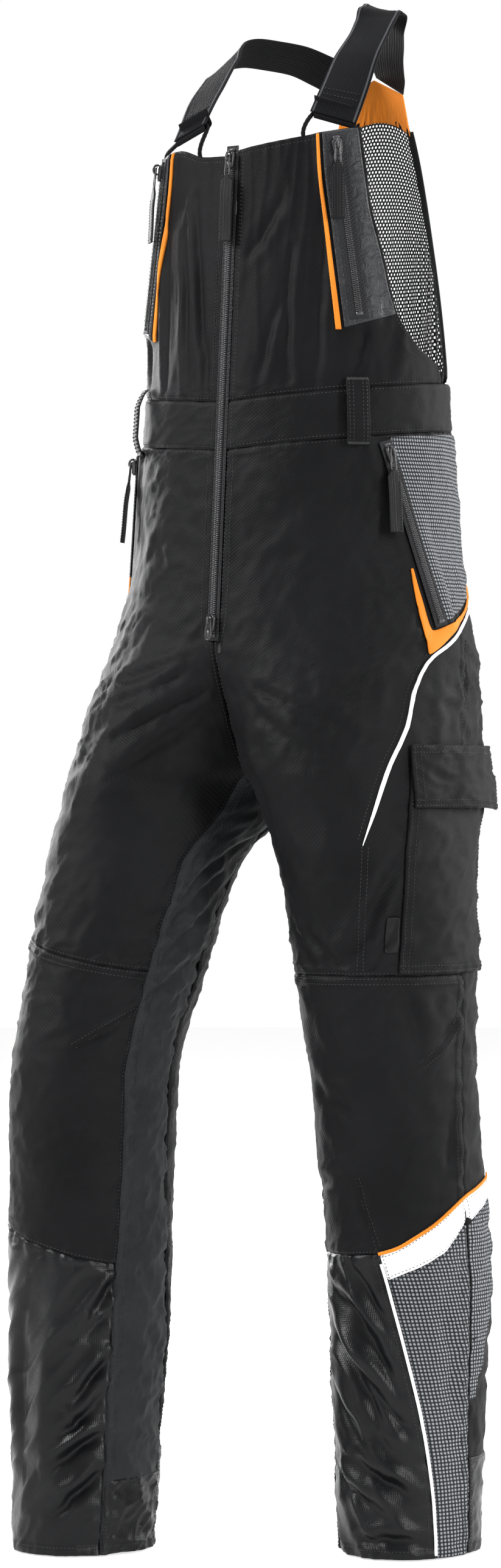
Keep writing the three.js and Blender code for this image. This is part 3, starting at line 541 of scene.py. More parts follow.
def slab(outer, inner):
    """One closed sheet between two grids of points."""
    rows, cols = outer.shape[:2]
    n = rows * cols
    verts = np.concatenate([outer.reshape(-1, 3), inner.reshape(-1, 3)])
    top = grid_faces(rows, cols)
    parts = [top, top[:, ::-1] + n]
    for line in (np.arange(cols), (np.arange(rows) * cols + cols - 1), (n - 1 - np.arange(cols)),
                 (n - cols - np.arange(rows) * cols)):
        a, b = line[:-1], line[1:]
        parts.append(np.stack([b, a, a + n, b + n], 1))
    faces = np.concatenate(parts)
    return verts, (faces if volume(verts, faces) > 0 else faces[:, ::-1])


class Shape:
    """Gathers many small solids of one piece."""

    def __init__(self):
        self.verts, self.faces, self.count = [], [], 0

    def add(self, verts, faces):
        verts = np.asarray(verts, float)
        self.verts.append(verts)
        self.faces.extend([tuple(int(k) + self.count for k in f) for f in faces])
        self.count += len(verts)

    def make(self, name, material, **facts):
        return mesh(name, np.concatenate(self.verts), self.faces, material, **facts)


def smooth_line(points, step):
    """A smooth line through points, with a point about every step millimetres."""
    points = np.asarray(points, float)
    d = travelled(points)
    count = max(2, int(math.ceil(d[-1] / step)) + 1)
    at = np.linspace(0, d[-1], count)
    if len(points) < 3:
        return sample(at, d, points)
    return np.stack([curve(list(zip(d, points[:, k])))(at) for k in range(points.shape[1])], 1)


def tube(points, radius, sides=8, flat=1.0, up=None):
    """Closed tube along points; flat squeezes it along up."""
    points = np.asarray(points, float)
    run = unit(np.gradient(points, axis=0))
    up = np.array([0.31, 0.17, 0.93]) if up is None else np.asarray(up, float)
    a = unit(np.cross(run, up))
    b = np.cross(a, run)
    radius = np.broadcast_to(np.asarray(radius, float), (len(points),))
    turn = np.linspace(0, 2 * np.pi, sides, endpoint=False)
    rings = (points[:, None] + radius[:, None, None]
             * (np.cos(turn)[None, :, None] * a[:, None] + flat * np.sin(turn)[None, :, None] * b[:, None]))
    verts = rings.reshape(-1, 3)
    faces = []
    for i in range(len(points) - 1):
        for k in range(sides):
            m = (k + 1) % sides
            faces.append((i * sides + k, i * sides + m, (i + 1) * sides + m, (i + 1) * sides + k))
    faces.append(tuple(range(sides))[::-1])
    faces.append(tuple((len(points) - 1) * sides + k for k in range(sides)))
    return verts, faces


def bead(centre, run, across, out, size):
    """A small rounded block, size as half-lengths along run, across and out."""
    corners, faces = [], []
    rings = ((-1, 0.55), (-0.72, 1), (0.72, 1), (1, 0.55))
    for along, wide in rings:
        for a, o in ((-1, -0.45), (-0.45, -1), (0.45, -1), (1, -0.45), (1, 0.45), (0.45, 1), (-0.45, 1),
                     (-1, 0.45)):
            corners.append(centre + run * along * size[0] + across * a * wide * size[1]
                           + out * o * wide * size[2])
    for i in range(3):
        for k in range(8):
            m = (k + 1) % 8
            faces.append((i * 8 + k, i * 8 + m, i * 8 + 8 + m, i * 8 + 8 + k))
    faces.append(tuple(range(8))[::-1])
    faces.append(tuple(24 + k for k in range(8)))
    return corners, faces


# ---- materials


def fabric(name, base, second, rough, weave="twill", pitch=1.1, bump=0.35, sheen=0.0, crinkle=0.0,
           checks=None,
           wear_and_highlight=0.5, speck=0.0, specular=0.14, metallic=0.0):
    """Cloth or hardware: weave, colour variation, crinkle, and lighter colour where the marks say edge or
    ridge: wear at edges, a painted highlight on fold ridges.
    """
    mat = bpy.data.materials.new(name)
    mat.use_nodes = True
    tree = mat.node_tree
    nodes, links = tree.nodes, tree.links
    shader = nodes["Principled BSDF"]
    shader.inputs["Specular IOR Level"].default_value = specular
    shader.inputs["Metallic"].default_value = metallic
    if sheen:
        shader.inputs["Sheen Weight"].default_value = sheen * 0.2
        shader.inputs["Sheen Roughness"].default_value = 0.5

    def node(kind, **inputs):
        n = nodes.new(kind)
        for key, value in inputs.items():
            n.inputs[key.replace("_", " ")].default_value = value
        return n

    def feed(socket, value):
        if isinstance(value, bpy.types.NodeSocket):
            links.new(value, socket)
        else:
            socket.default_value = value

    def mix(a, b, factor):
        n = nodes.new("ShaderNodeMix")
        n.data_type = "RGBA"
        for socket, value in ((n.inputs[6], a), (n.inputs[7], b), (n.inputs[0], factor)):
            feed(socket, value)
        return n.outputs[2]

    def math_node(kind, a, b):
        n = nodes.new("ShaderNodeMath")
        n.operation = kind
        for socket, value in zip(n.inputs, (a, b)):
            feed(socket, value)
        return n.outputs[0]

    def map_range(value, end, low, high):
        """Maps a value from, or to, the range between low and high."""
        n = node("ShaderNodeMapRange", **{end + "_Min": low, end + "_Max": high})
        links.new(value, n.inputs["Value"])
        return n.outputs[0]

    def mark(name):
        n = nodes.new("ShaderNodeAttribute")
        n.attribute_name = name
        return n.outputs["Fac"]

    place = nodes.new("ShaderNodeTexCoord")
    scale = 1000.0 / pitch
    threads = []
    angles = {"twill": (0.9, -0.66), "plain": (0.0, math.pi / 2), "rib": (0.0, 0.0), "none": ()}[weave]
    for k, turn in enumerate(angles):
        spin = nodes.new("ShaderNodeMapping")
        spin.inputs["Rotation"].default_value = (0, 0, turn)
        links.new(place.outputs["UV"], spin.inputs["Vector"])
        wave = node("ShaderNodeTexWave",
                    Scale=scale / (2 * math.pi) * (1 if k == 0 or weave == "plain" else 1.7),
                    Distortion=0.4, Detail=1.0)
        links.new(spin.outputs["Vector"], wave.inputs["Vector"])
        threads.append(wave.outputs["Fac"])
    cloud = node("ShaderNodeTexNoise", Scale=14.0, Detail=4.0)
    links.new(place.outputs["Object"], cloud.inputs["Vector"])
    grain = node("ShaderNodeTexNoise", Scale=900.0 if speck == 0 else 760.0, Detail=2.0)
    links.new(place.outputs["Object"], grain.inputs["Vector"])
    tone = map_range(cloud.outputs["Fac"], "From", 0.36, 0.66)
    colour = mix((*base, 1), (*second, 1), tone)
    # Lighter colour mixed in at edges stands for wear; on fold ridges it is a painted highlight.
    wear_and_highlight_tone = tuple(min(1.0, c * 2.2 + 0.006) for c in second)
    wear_and_ridge_highlight = math_node("MULTIPLY", math_node("ADD", mark("edge"), mark("ridge_highlight")), wear_and_highlight * 0.5)
    wear_and_ridge_highlight = math_node("MULTIPLY", wear_and_ridge_highlight, grain.outputs["Fac"])
    colour = mix(colour, (*wear_and_highlight_tone, 1), wear_and_ridge_highlight)
    if checks:
        thread_light = math_node("MULTIPLY", threads[0], threads[1])
        colour = mix(colour, (*checks, 1), map_range(thread_light, "From", 0.12, 0.5))
    if speck:
        light = map_range(grain.outputs["Fac"], "From", 0.54, 0.7)
        bright = tuple(min(1, c * 4.5 + 0.05) for c in base) + (1,)
        colour = mix(colour, bright, math_node("MULTIPLY", light, speck))
    # Painted shade: the weave's grooves, where the thread bump is low, are darkened.
    if threads:
        groove_shade_tone = tuple(c * 0.62 for c in base) + (1,)
        colour = mix(colour, groove_shade_tone, math_node("MULTIPLY", math_node("SUBTRACT", 1.0, threads[0]), 0.3))
    links.new(colour, shader.inputs["Base Color"])
    links.new(map_range(cloud.outputs["Fac"], "To", rough - 0.07, rough + 0.08), shader.inputs["Roughness"])
    last = None

    def raised(height, strength, distance):
        nonlocal last
        b = node("ShaderNodeBump", Strength=strength, Distance=distance)
        links.new(height, b.inputs["Height"])
        if last is not None:
            links.new(last, b.inputs["Normal"])
        last = b.outputs["Normal"]

    if crinkle:
        crumple = node("ShaderNodeTexNoise", Scale=85.0, Detail=3.0, Distortion=1.2)
        links.new(place.outputs["Object"], crumple.inputs["Vector"])
        raised(crumple.outputs["Fac"], crinkle, 0.004)
    if threads:
        height = threads[0] if len(threads) == 1 else math_node("ADD", threads[0],
                                                                math_node("MULTIPLY", threads[1], 0.6))
        raised(height, bump, 0.0003)
    raised(grain.outputs["Fac"], 0.25, 0.0004)
    links.new(last, shader.inputs["Normal"])
    return mat


BLACK = fabric("shell_cloth", (0.0028, 0.0029, 0.0033), (0.0046, 0.0047, 0.0053), 0.58, pitch=1.3,
               sheen=0.03, wear_and_highlight=0.3, crinkle=0.09,
               specular=0.075)
BIB = fabric("bib_stretch_cloth", (0.0028, 0.0028, 0.0033), (0.0046, 0.0046, 0.0053), 0.55, pitch=1.0,
             sheen=0.02, wear_and_highlight=0.3,
             specular=0.06)
STRETCH = fabric("gusset_stretch", (0.0105, 0.011, 0.012), (0.0155, 0.0162, 0.0175), 0.62, pitch=0.9,
                 sheen=0.05, wear_and_highlight=0.35, specular=0.1)
NYLON = fabric("shin_nylon", (0.0030, 0.0031, 0.0036), (0.0052, 0.0054, 0.0061), 0.34, "plain", 0.8, 0.2,
               crinkle=0.1,
               wear_and_highlight=0.3, specular=0.15)
CHEST = fabric("pocket_nylon", (0.0125, 0.013, 0.0145), (0.018, 0.0185, 0.0205), 0.42, "plain", 0.8, 0.2,
               crinkle=0.5, wear_and_highlight=0.5,
               specular=0.2)
WOVEN = fabric("mottled_weave", (0.008, 0.0085, 0.0095), (0.014, 0.0148, 0.0165), 0.72, "plain", 1.75, 0.7,
               speck=0.25,
               specular=0.12, checks=(0.20, 0.21, 0.225))
ORANGE = fabric("orange_cloth", (0.52, 0.148, 0.0075), (0.60, 0.178, 0.0125), 0.7, "plain", 1.0, 0.3,
                wear_and_highlight=0.12,
                specular=0.2)
WHITE = fabric("reflective_tape", (0.78, 0.785, 0.79), (0.84, 0.84, 0.84), 0.42, "plain", 0.9, 0.15,
               wear_and_highlight=0.1, specular=0.5)
ELASTIC = fabric("ribbed_elastic", (0.003, 0.0031, 0.0036), (0.005, 0.0051, 0.0058), 0.66, "rib", 1.5, 0.6,
                 sheen=0.02, specular=0.05)
SELVEDGE = fabric("elastic_selvedge", (0.03, 0.031, 0.034), (0.045, 0.046, 0.05), 0.6, "plain", 0.9, 0.4)
NET = fabric("mesh_yarn", (0.0045, 0.0046, 0.0052), (0.0075, 0.0076, 0.0084), 0.6, "none", sheen=0.04,
             specular=0.09)
TAPE = fabric("zip_tape", (0.011, 0.0112, 0.012), (0.018, 0.0182, 0.02), 0.55, "twill", 1.4, 0.5,
              specular=0.12)
TEETH = fabric("zip_teeth", (0.022, 0.022, 0.0235), (0.035, 0.035, 0.037), 0.3, "none", specular=0.4)
METAL = fabric("black_enamelled_metal", (0.018, 0.018, 0.0195), (0.035, 0.035, 0.0365), 0.3, "none",
               metallic=0.35, wear_and_highlight=0.9,
               specular=0.5)
RIBBON = fabric("pull_ribbon", (0.0045, 0.0046, 0.0052), (0.0075, 0.0076, 0.0084), 0.5, "rib", 1.2, 0.6,
                sheen=0.04, specular=0.09)
THREAD = fabric("black_thread", (0.010, 0.0102, 0.011), (0.016, 0.0162, 0.0175), 0.46, "none", sheen=0.2,
                specular=0.3)
PAD = fabric("cut_pad_fibre", (0.72, 0.68, 0.55), (0.82, 0.79, 0.68), 0.8, "rib", 2.4, 0.8, sheen=0.2)
LABEL = fabric("rubber_tab", (0.003, 0.003, 0.0034), (0.005, 0.005, 0.0055), 0.5, "none", specular=0.12)
FLOOR = fabric("pale_floor", (0.55, 0.55, 0.55), (0.57, 0.57, 0.57), 0.9, "none", wear_and_highlight=0.0)

# ---- panels

LADDER = np.array([0, 0.7, 1.5, 2.4, 3.4, 4.8, 6.2, 7.2, 8.4, 9.4, 10.6, 13])
stitches = {"garment": [Shape()], "flap": [Shape()]}
MOST_POINTS = 90000  # in one piece of thread
SURVEY = 25  # places where a panel's width and height are taken


def thread_for(body_name):
    """The piece of thread that the next stitches on a body join."""
    if stitches[body_name][-1].count > MOST_POINTS:
        stitches[body_name].append(Shape())
    return stitches[body_name][-1]


def fractions(total, middle, ladder):
    total = np.asarray(total, float)[:, None]
    squeeze = np.minimum(1, 0.42 * total / ladder[-1])
    low = ladder[None, :] * squeeze
    high = total - low[:, ::-1]
    inside = lerp(low[:, -1:], high[:, :1], np.linspace(0, 1, middle + 1)[None, 1:-1])
    return np.concatenate([low, inside, high], 1) / total


def solve(left, right, bottom, top, cell, ladder):
    """Angles, heights and distances from the four edges over one pattern piece."""
    t0 = np.linspace(0, 1, SURVEY)
    z0 = lerp(bottom(np.float64(40)), top(np.float64(40)), t0)
    for _ in range(8):
        a = lerp(left(z0), right(z0), 0.5)
        z0 = lerp(bottom(a), top(a), t0)
    widths = np.abs(right(z0) - left(z0)) * per_degree(z0)
    heights = []
    s0 = np.linspace(0, 1, SURVEY)
    for s in s0:
        zz = 0.5 * (z0[0] + z0[-1])
        for _ in range(8):
            a = lerp(left(zz), right(zz), s)
            zz = lerp(bottom(a), top(a), 0.5)
        heights.append(abs(float(top(a) - bottom(a))))
    heights = np.array(heights)
    rows = fractions(heights, max(2, int(heights.max() / cell)), ladder)       # by s0
    cols = fractions(widths, max(2, int(widths.max() / cell)), ladder)        # by t0
    n, m = rows.shape[1], cols.shape[1]
    t_even = np.linspace(0, 1, n)
    s = np.stack([np.interp(t_even, t0, cols[:, j]) for j in range(m)], 1)
    t = np.zeros_like(s)
    for j in range(m):
        column = np.stack([np.interp(s[:, j], s0, rows[:, i]) for i in range(n)], 1)
        t[:, j] = column[np.arange(n), np.arange(n)]
    z = lerp(bottom(np.float64(40)), top(np.float64(40)), t)
    for _ in range(9):
        angle = lerp(left(z), right(z), s)
        z = lerp(bottom(angle), top(angle), t)
    width = np.abs(right(z) - left(z)) * per_degree(z)
    height = np.abs(top(angle) - bottom(angle))
    return angle, z, dict(left=s * width, right=(1 - s) * width, bottom=t * height,
                          top=(1 - t) * height), width


def edge_profile(kind, d, run, seed):
    """Height added near one edge, by distance d from it and place along it."""
    tug = noise(run / 9.0, d / 60 + seed, seed) * bell(d, 11)
    tug = tug + 0.8 * noise(run / 21.0, d / 90 + seed, seed + 1) * bell(d, 24)
    groove = bell(d, 1.7)
    if kind == "seam":
        return -1.3 * groove + 0.7 * tug - 0.25 * bell(d - 2.6, 0.9)
    if kind == "fell":
        band = ramp(d, 0.3, 1.6) * (1 - ramp(d, 8.6, 9.6))
        dents = bell(d - 2.4, 0.8) + bell(d - 7.2, 0.8)
        return -0.9 * groove + 0.75 * band - 0.3 * dents + 0.7 * tug
    if kind == "soft":
        return -1.2 * groove + 1.5 * tug
    if kind == "hem":
        return 0.5 * (1 - ramp(d, 8.4, 9.4)) - 0.3 * bell(d - 7.2, 0.9) - 0.4 * groove + 1.1 * tug
    if kind == "free":
        return -0.5 * bell(d, 0.9) - 0.2 * bell(d - 4.8, 0.9) + 0.3 * tug
    if kind == "patch":
        return -0.9 * bell(d, 0.8) - 0.22 * bell(d - 2.4, 0.8)
    return 0 * d


PATCHED, PLAIN, DOUBLE = (("patch",) * 4, ("none",) * 4, ("double",) * 4)
STITCH_ROWS = {"seam": (2.6,), "fell": (2.4, 7.2), "soft": (), "hem": (7.2,), "free": (4.8,),
               "patch": (2.4,),
               "double": (2.4, 7.2), "none": ()}


def stitch_along(points, ups, body_name="garment", pitch=3.5, length=2.3, radius=0.36):
    """Raised thread, one stitch after another, along a line that lies on the cloth."""
    d = travelled(points)
    if d[-1] < 2 * pitch:
        return
    at = np.arange(pitch * 0.5, d[-1] - pitch * 0.4, pitch)
    a, b = (sample(at + shift, d, points) for shift in (-length / 2, length / 2))
    up = unit(sample(at, d, np.broadcast_to(ups, points.shape)))
    run = unit(b - a)
    across = np.cross(run, up)
    verts = [a - 0.35 * up * radius]
    for place, lift in ((lerp(a, b, 0.22), 0.35), (lerp(a, b, 0.5), 0.6), (lerp(a, b, 0.78), 0.35)):
        for ca, cu in ((1, 0), (0, 1), (-1, 0), (0, -1)):
            verts.append(place + radius * (ca * across + (cu + lift) * up))
    verts.append(b - 0.35 * up * radius)
    n, count = len(verts), len(at)
    faces = []
    for k in range(4):
        m = (k + 1) % 4
        faces.append((0, 1 + k, 1 + m, 1 + m))
        faces.append((1 + k, 5 + k, 5 + m, 1 + m))
        faces.append((5 + k, 9 + k, 9 + m, 5 + m))
        faces.append((9 + k, 13, 9 + m, 9 + m))
    block = np.stack(verts, 1).reshape(-1, 3)
    shape = thread_for(body_name)
    base = shape.count
    for i in range(count):
        for f in faces:
            g = [base + i * n + k for k in dict.fromkeys(f)]
            shape.faces.append(tuple(g))
    shape.verts.append(block)
    shape.count += len(block)


def panel(name, side, left, right, bottom, top, material, slot, edges, cell=4.5, lift=0.0, thick=CLOTH,
          flare=None, ride="garment", ladder=LADDER, extra=0.4, held="hung", sheet=True, calm=1.0,
          stitch=None):
    """One pattern piece as a closed, creased sheet; edges is (left, right, bottom, top)."""
    extra = extra if all(k in ("seam", "fell", "soft", "hem") for k in edges) else 0.0

    def wider(f, sign, kind):
        if kind in ("seam", "fell", "soft") and extra:
            return lambda z: f(z) + sign * extra / per_degree(z)
        return f

    angle, z, d, width = solve(wider(left, -1, edges[0]), wider(right, 1, edges[1]), bottom, top, cell,
                               ladder)
    base, up = body(side, angle, z), normal(side, angle, z)
    smooth_area = grid_area(base)
    height = relief(side, angle, z) * calm + lift
    if flare is not None:
        height = height + flare(angle, z)
    seed = 20 + len(bpy.data.objects)
    runs = dict(left=z, right=z, bottom=angle * MM_PER_DEGREE, top=angle * MM_PER_DEGREE)
    marks = np.zeros_like(z)
    for where, kind in zip(("left", "right", "bottom", "top"), edges):
        height = height + edge_profile(kind, d[where], runs[where], seed)
        marks = np.maximum(marks, np.exp(-d[where] / 3.0) * (kind != "none"))
        seed += 3
    outer = base + up * height[..., None]
    inner = base + up * (height - thick)[..., None]
    verts, faces = slab(outer, inner)
    uv = np.stack([d["left"], z], -1).reshape(-1, 2)
    # Fold crests, marked so the material paints a highlight on them.
    soft = blur(height)
    ridge_highlight = np.clip((height - soft) * 0.9, 0, 1)
    obj = mesh(name, verts, faces, material, ride, slot,
               np.concatenate([uv, uv]),
               dict(edge=np.tile(marks.ravel(), 2), ridge_highlight=np.tile(ridge_highlight.ravel(), 2)))
    up_now = grid_normals(outer, up)
    for where, kind in zip(("left", "right", "bottom", "top"), stitch or edges):
        for row in STITCH_ROWS[kind]:
            place_row(outer, up_now, d, where, row, ride)
    if sheet:
        flat_w, flat_l = float(width.max()), float((d["bottom"] + d["top"]).max())
        flat_w = max(flat_w, smooth_area / flat_l)
    return obj


def grid_area(p):
    a = np.cross(p[1:, 1:] - p[:-1, :-1], p[1:, :-1] - p[:-1, 1:])
    return float(np.linalg.norm(a, axis=-1).sum() / 2)


def blur(h):
    out = h
    for _ in range(3):
        pad = np.pad(out, 1, mode="edge")
        out = (pad[:-2, 1:-1] + pad[2:, 1:-1] + pad[1:-1, :-2] + pad[1:-1, 2:] + 2 * out) / 6
    return out


def grid_normals(p, like):
    n = unit(np.cross(np.gradient(p, axis=1), np.gradient(p, axis=0)))
    return n * np.sign(np.sum(n * like, -1, keepdims=True) + 1e-9)


def place_row(outer, ups, d, where, row, ride):
    """Threads a row of stitches at one distance from an edge."""
    dist = d[where]
    axis = 1 if where in ("left", "right") else 0
    lines = outer.shape[0] if axis == 1 else outer.shape[1]
    points, normals = [], []
    for i in range(lines):
        column = dist[i] if axis == 1 else dist[:, i]
        p = outer[i] if axis == 1 else outer[:, i]
        u = ups[i] if axis == 1 else ups[:, i]
        order = slice(None) if column[0] < column[-1] else slice(None, None, -1)
        column, p, u = column[order], p[order], u[order]
        if column[-1] < 2 * row:
            continue
        points.append([np.interp(row, column, p[:, k]) for k in range(3)])
        normals.append([np.interp(row, column, u[:, k]) for k in range(3)])
    if len(points) > 3:
        stitch_along(np.array(points), np.array(normals), ride)


for side, hand in SIDES:
    panel("front_panel_" + hand, side, gusset_front, side_seam, knee_top[side], waist_bottom, BLACK,
          "shell",
          ("seam", "fell", "seam", "seam"))
    panel("back_leg_" + hand, side, side_seam, centre_back, flat_line(HEM), waist_bottom, BLACK, "shell",
          ("soft", "fell", "hem", "seam"))
    panel("inner_leg_" + hand, side, gusset_back, seam_front, flat_line(HEM), crotch_height, STRETCH,
          "stretch",
          ("soft", "fell", "hem", "soft"), cell=4)
    panel("knee_panel_" + hand, side, seam_front, side_seam, knee_bottom[side], knee_top[side], BLACK,
          "shell",
          ("seam", "fell", "seam", "fell"))
    panel("bib_front_" + hand, side, lambda z: inner_angle(z, 6), armhole, waist_top, bib_top[side], BIB,
          "shell",
          ("free", "free", "seam", "free"), cell=4, held="gathered")
    panel("chest_pocket_" + hand, side, lambda z: chest_seam(z) + 3 / per_degree(z),
          lambda z: armhole(z) - 4 / per_degree(z),
          lambda a: 1134 + (a - 44) * 0.6, lambda a, s=side: bib_top[s](a) - 1, CHEST, "nylon",
          PATCHED, cell=3.5, lift=2.2, thick=1.1, held="gathered",
          stitch=("patch", "patch", "double", "patch"))

panel("shin_panel_right", -1, seam_front, side_seam, flat_line(HEM), knee_bottom[-1], NYLON, "nylon",
      ("soft", "fell", "hem", "soft"), cell=3)
panel("shin_panel_left", 1, seam_front, shin_seam, flat_line(HEM), left_knee_bottom, NYLON, "nylon",
      ("soft", "soft", "hem", "soft"), cell=3, stitch=("none", "double", "hem", "none"))
panel("reflective_band_left", 1, shin_seam, side_seam, band_bottom, left_knee_bottom, WHITE, "white",
      ("seam", "seam", "seam", "seam"))
panel("shin_side_left", 1, shin_seam, side_seam, flat_line(HEM), band_bottom, WOVEN, "woven",
      ("seam", "fell", "hem", "seam"))

# ---- ribbons, bands and lines


def ribbon(name, centres, across, ups, half, thick, material, columns=9, round_=0.5, low=0.0, profile=None,
           **facts):
    """A closed strap along centres; profile(s) adds height across its width, s from -1 to 1."""
    across, ups = (np.broadcast_to(v, centres.shape) for v in (across, ups))
    half = np.broadcast_to(np.asarray(half, float), (len(centres),))
    s = np.sin(np.linspace(-math.pi / 2, math.pi / 2, columns))
    top = thick - round_ * np.abs(s) ** 8
    if profile is not None:
        top = top + profile(s)
    flat = centres[:, None] + half[:, None, None] * s[None, :, None] * across[:, None]
    outer = flat + (low + top)[None, :, None] * ups[:, None]
    inner = flat + low * ups[:, None]
    verts, faces = slab(outer, inner)
    d = travelled(centres)
    uv = np.stack(np.broadcast_arrays(s[None, :] * half[:, None], d[:, None]), -1).reshape(-1, 2)
    edge = np.broadcast_to(np.abs(s)[None, :] ** 6, flat.shape[:2]).ravel()
    return mesh(name, verts, faces, material, uv=np.concatenate([uv, uv]),
                marks=dict(edge=np.tile(edge, 2)), **facts)


def on_cloth(side, angle, z, lift=0.0):
    angle, z = np.asarray(angle, float), np.asarray(z, float)
    up = normal(side, angle, z)
    return body(side, angle, z) + up * (relief(side, angle, z) + lift)[..., None], up


def band(name, side, a, b, material, slot, lift=2.2, thick=1.2, columns=7, ride="garment"):
    """A raised strip on the cloth between two lines of (angle, height)."""
    count = max(6, int(np.linalg.norm(np.diff(np.asarray(a, float) * (MM_PER_DEGREE, 1), axis=0),
                                      axis=1).sum() / 2.5))
    share = np.linspace(0, 1, count + 1)

    def even(line):
        line = np.asarray(line, float)
        d = np.linspace(0, 1, len(line))
        return np.stack([curve(list(zip(d, line[:, k])))(share) for k in (0, 1)], 1)

    a, b = even(a), even(b)
    s = (1 - np.cos(np.linspace(0, math.pi, columns))) / 2
    grid = lerp(a[:, None], b[:, None], s[None, :, None])
    angle, z = grid[..., 0], grid[..., 1]
    base, up = body(side, angle, z), normal(side, angle, z)
    crown = lift - 0.9 * (np.abs(2 * s - 1) ** 4)[None, :] + 0 * z
    height = relief(side, angle, z)
    outer, inner = base + up * (height + crown)[..., None], base + up * (height + lift - thick)[..., None]
    verts, faces = slab(outer, inner)
    width = np.linalg.norm(outer[:, -1] - outer[:, 0], axis=1)
    uv = np.stack([s[None, :] * width[:, None], z], -1).reshape(-1, 2)
    return mesh(name, verts, faces, material, ride, slot,
                np.concatenate([uv, uv]), dict(edge=np.tile((np.abs(2 * s - 1) ** 4 + 0 * z).ravel(), 2)))


def stitched_line(side, points, lift=0.0, offsets=(0.0,), step=3.0):
    """Stitches along (angle, height) points, with parallel rows offset in millimetres."""
    points = np.asarray(points, float)
    mm = points.copy()
    mm[:, 0] = mm[:, 0] * MM_PER_DEGREE
    line = smooth_line(mm, step)
    line[:, 0] /= MM_PER_DEGREE
    for offset in offsets:
        scale = per_degree(line[:, 1])
        run = np.stack([np.gradient(line[:, 0]) * scale, np.gradient(line[:, 1])], 1)
        run = unit(run)
        angle, z = line[:, 0] - run[:, 1] * offset / scale, line[:, 1] + run[:, 0] * offset
        p, up = on_cloth(side, angle, z, lift)
        stitch_along(p, up)


def bar_tack(centre, along, up, length=9.0, half=1.4, body_name="garment"):
    """A dense zigzag of thread that pins two layers together."""
    across = np.cross(along, up)
    count = int(length / 0.7)
    for i in range(count):
        at = centre + along * ((i + 0.5) / count - 0.5) * length
        lean = unit(across + 0.25 * along * (-1) ** i)
        verts, faces = bead(at, lean, np.cross(up, lean), up, (half, 0.34, 0.42))
        thread_for(body_name).add(verts, faces)


# ---- waistband, pockets and trim

small = np.array([0, 0.6, 1.3, 2.2])
edge_angle = float(inner_angle(1071.0, 6))
panel("waistband", 1, flat_line(edge_angle), flat_line(360 - edge_angle), waist_bottom, waist_top, BLACK,
      "shell",
      ("free", "free", "seam", "seam"), lift=0.6, thick=2.2, calm=0.55, held="stretched",
      stitch=("free", "free", "seam", "seam"))

for side, hand in SIDES:
    panel("chest_piping_" + hand, side,
          lambda z: chest_seam(z) - lerp(6, 3, (z - 1134) / 180) / per_degree(z),
          chest_seam, flat_line(1134), lambda a, s=side: bib_top[s](a) - 1, ORANGE, "orange",
          PATCHED, cell=4, lift=2.2, thick=1.2, ladder=small, sheet=False, stitch=PLAIN)
    side_zip_line = curve([(868, 81), (950, 72), (1030, 62)])
    panel("side_pocket_" + hand, side, lambda z: side_zip_line(z) + 6 / per_degree(z),
          curve([(880, 118), (960, 121), (1045, 126)]),
          curve([(78, 866), (88, 873), (102, 886), (112, 900), (124, 917)]), lambda a: waist_bottom(a) - 3,
          WOVEN, "woven",
          PATCHED, lift=2.2, thick=1.1, stitch=("none", "double", "none", "patch"))
    band("pocket_trim_" + hand, side,
         [(70.5, 917), (71.5, 880), (74, 840), (85, 855), (97, 872), (110, 888), (121, 900)],
         [(71.5, 917), (74, 890), (77.5, 862), (88, 868.5), (102, 882), (112, 896), (121, 909)], ORANGE,
         "orange", lift=2.7,
         thick=1.5)
    pad = panel("cut_pad_" + hand, side, lambda z: np.maximum(-50, centre_front(z) + 12), flat_line(78),
                flat_line(90), flat_line(900),
          PAD, "padding", PLAIN, cell=9, lift=-7.8, thick=4.0, ladder=small, sheet=False)

PIPING_WIDTH = (3.6, 3.6, 3.6, 3.6, 3.6, 3.6, 3.6, 3.4, 2.8, 0.6)


def lower_side(line, widths):
    """The other edge of a piping, its width below the line."""
    line = np.asarray(line, float)
    before, after = np.vstack([line[:1], line[:-1]]), np.vstack([line[1:], line[-1:]])
    scale = per_degree(line[:, 1])
    run = unit(np.stack([(after - before)[:, 0] * scale, (after - before)[:, 1]],
                        1)) * np.asarray(widths, float)[:, None]
    return np.stack([line[:, 0] - run[:, 1] / scale, line[:, 1] + run[:, 0]], 1)


band("thigh_piping_left", 1, THIGH_PIPING, lower_side(THIGH_PIPING, PIPING_WIDTH), WHITE, "white", lift=2.3,
     thick=1.4)
knee_line = [(a, float(left_knee_bottom(a)) - 1) for a in (17, 30, 43, 57, 70, 84, 98, 112, 126)]
band("knee_piping_left", 1, knee_line, lower_side(knee_line, [3] * 9), ORANGE, "orange", lift=2.5,
     thick=1.6)
shin_line = [(float(shin_seam(z)), z) for z in (27, 60, 95, 130, 165, 200, 235, 268, 292)]
band("shin_piping_left", 1, shin_line, lower_side(shin_line, [2.6] * 9), WHITE, "white", lift=2.3,
     thick=1.4)

cargo_front = curve([(552, 47), (738, 63)])
panel("cargo_pocket", 1, cargo_front, flat_line(127), flat_line(553), flat_line(742), BLACK, "shell",
      PATCHED, lift=3.2, thick=1.8, stitch=DOUBLE)


def flap_flare(angle, z):
    return 10 * smooth((angle - 62) / 69) * ((758 - z) / 57) + 0.8 * np.sin(angle / 7.0) * ((758 - z) / 57)


panel("cargo_flap", 1, flat_line(62), flat_line(131), flat_line(701), flat_line(758), BLACK, "shell",
      PATCHED,
      cell=4, lift=6.6, thick=2.2, flare=flap_flare, ride="flap", stitch=DOUBLE)
panel("label_tab", 1, lambda z: cargo_front(z) - 9, lambda z: cargo_front(z) - 1, flat_line(572),
      flat_line(604), LABEL,
      "slider", PATCHED, cell=3, lift=2.3, thick=1.3, ladder=small, sheet=False, stitch=PLAIN)

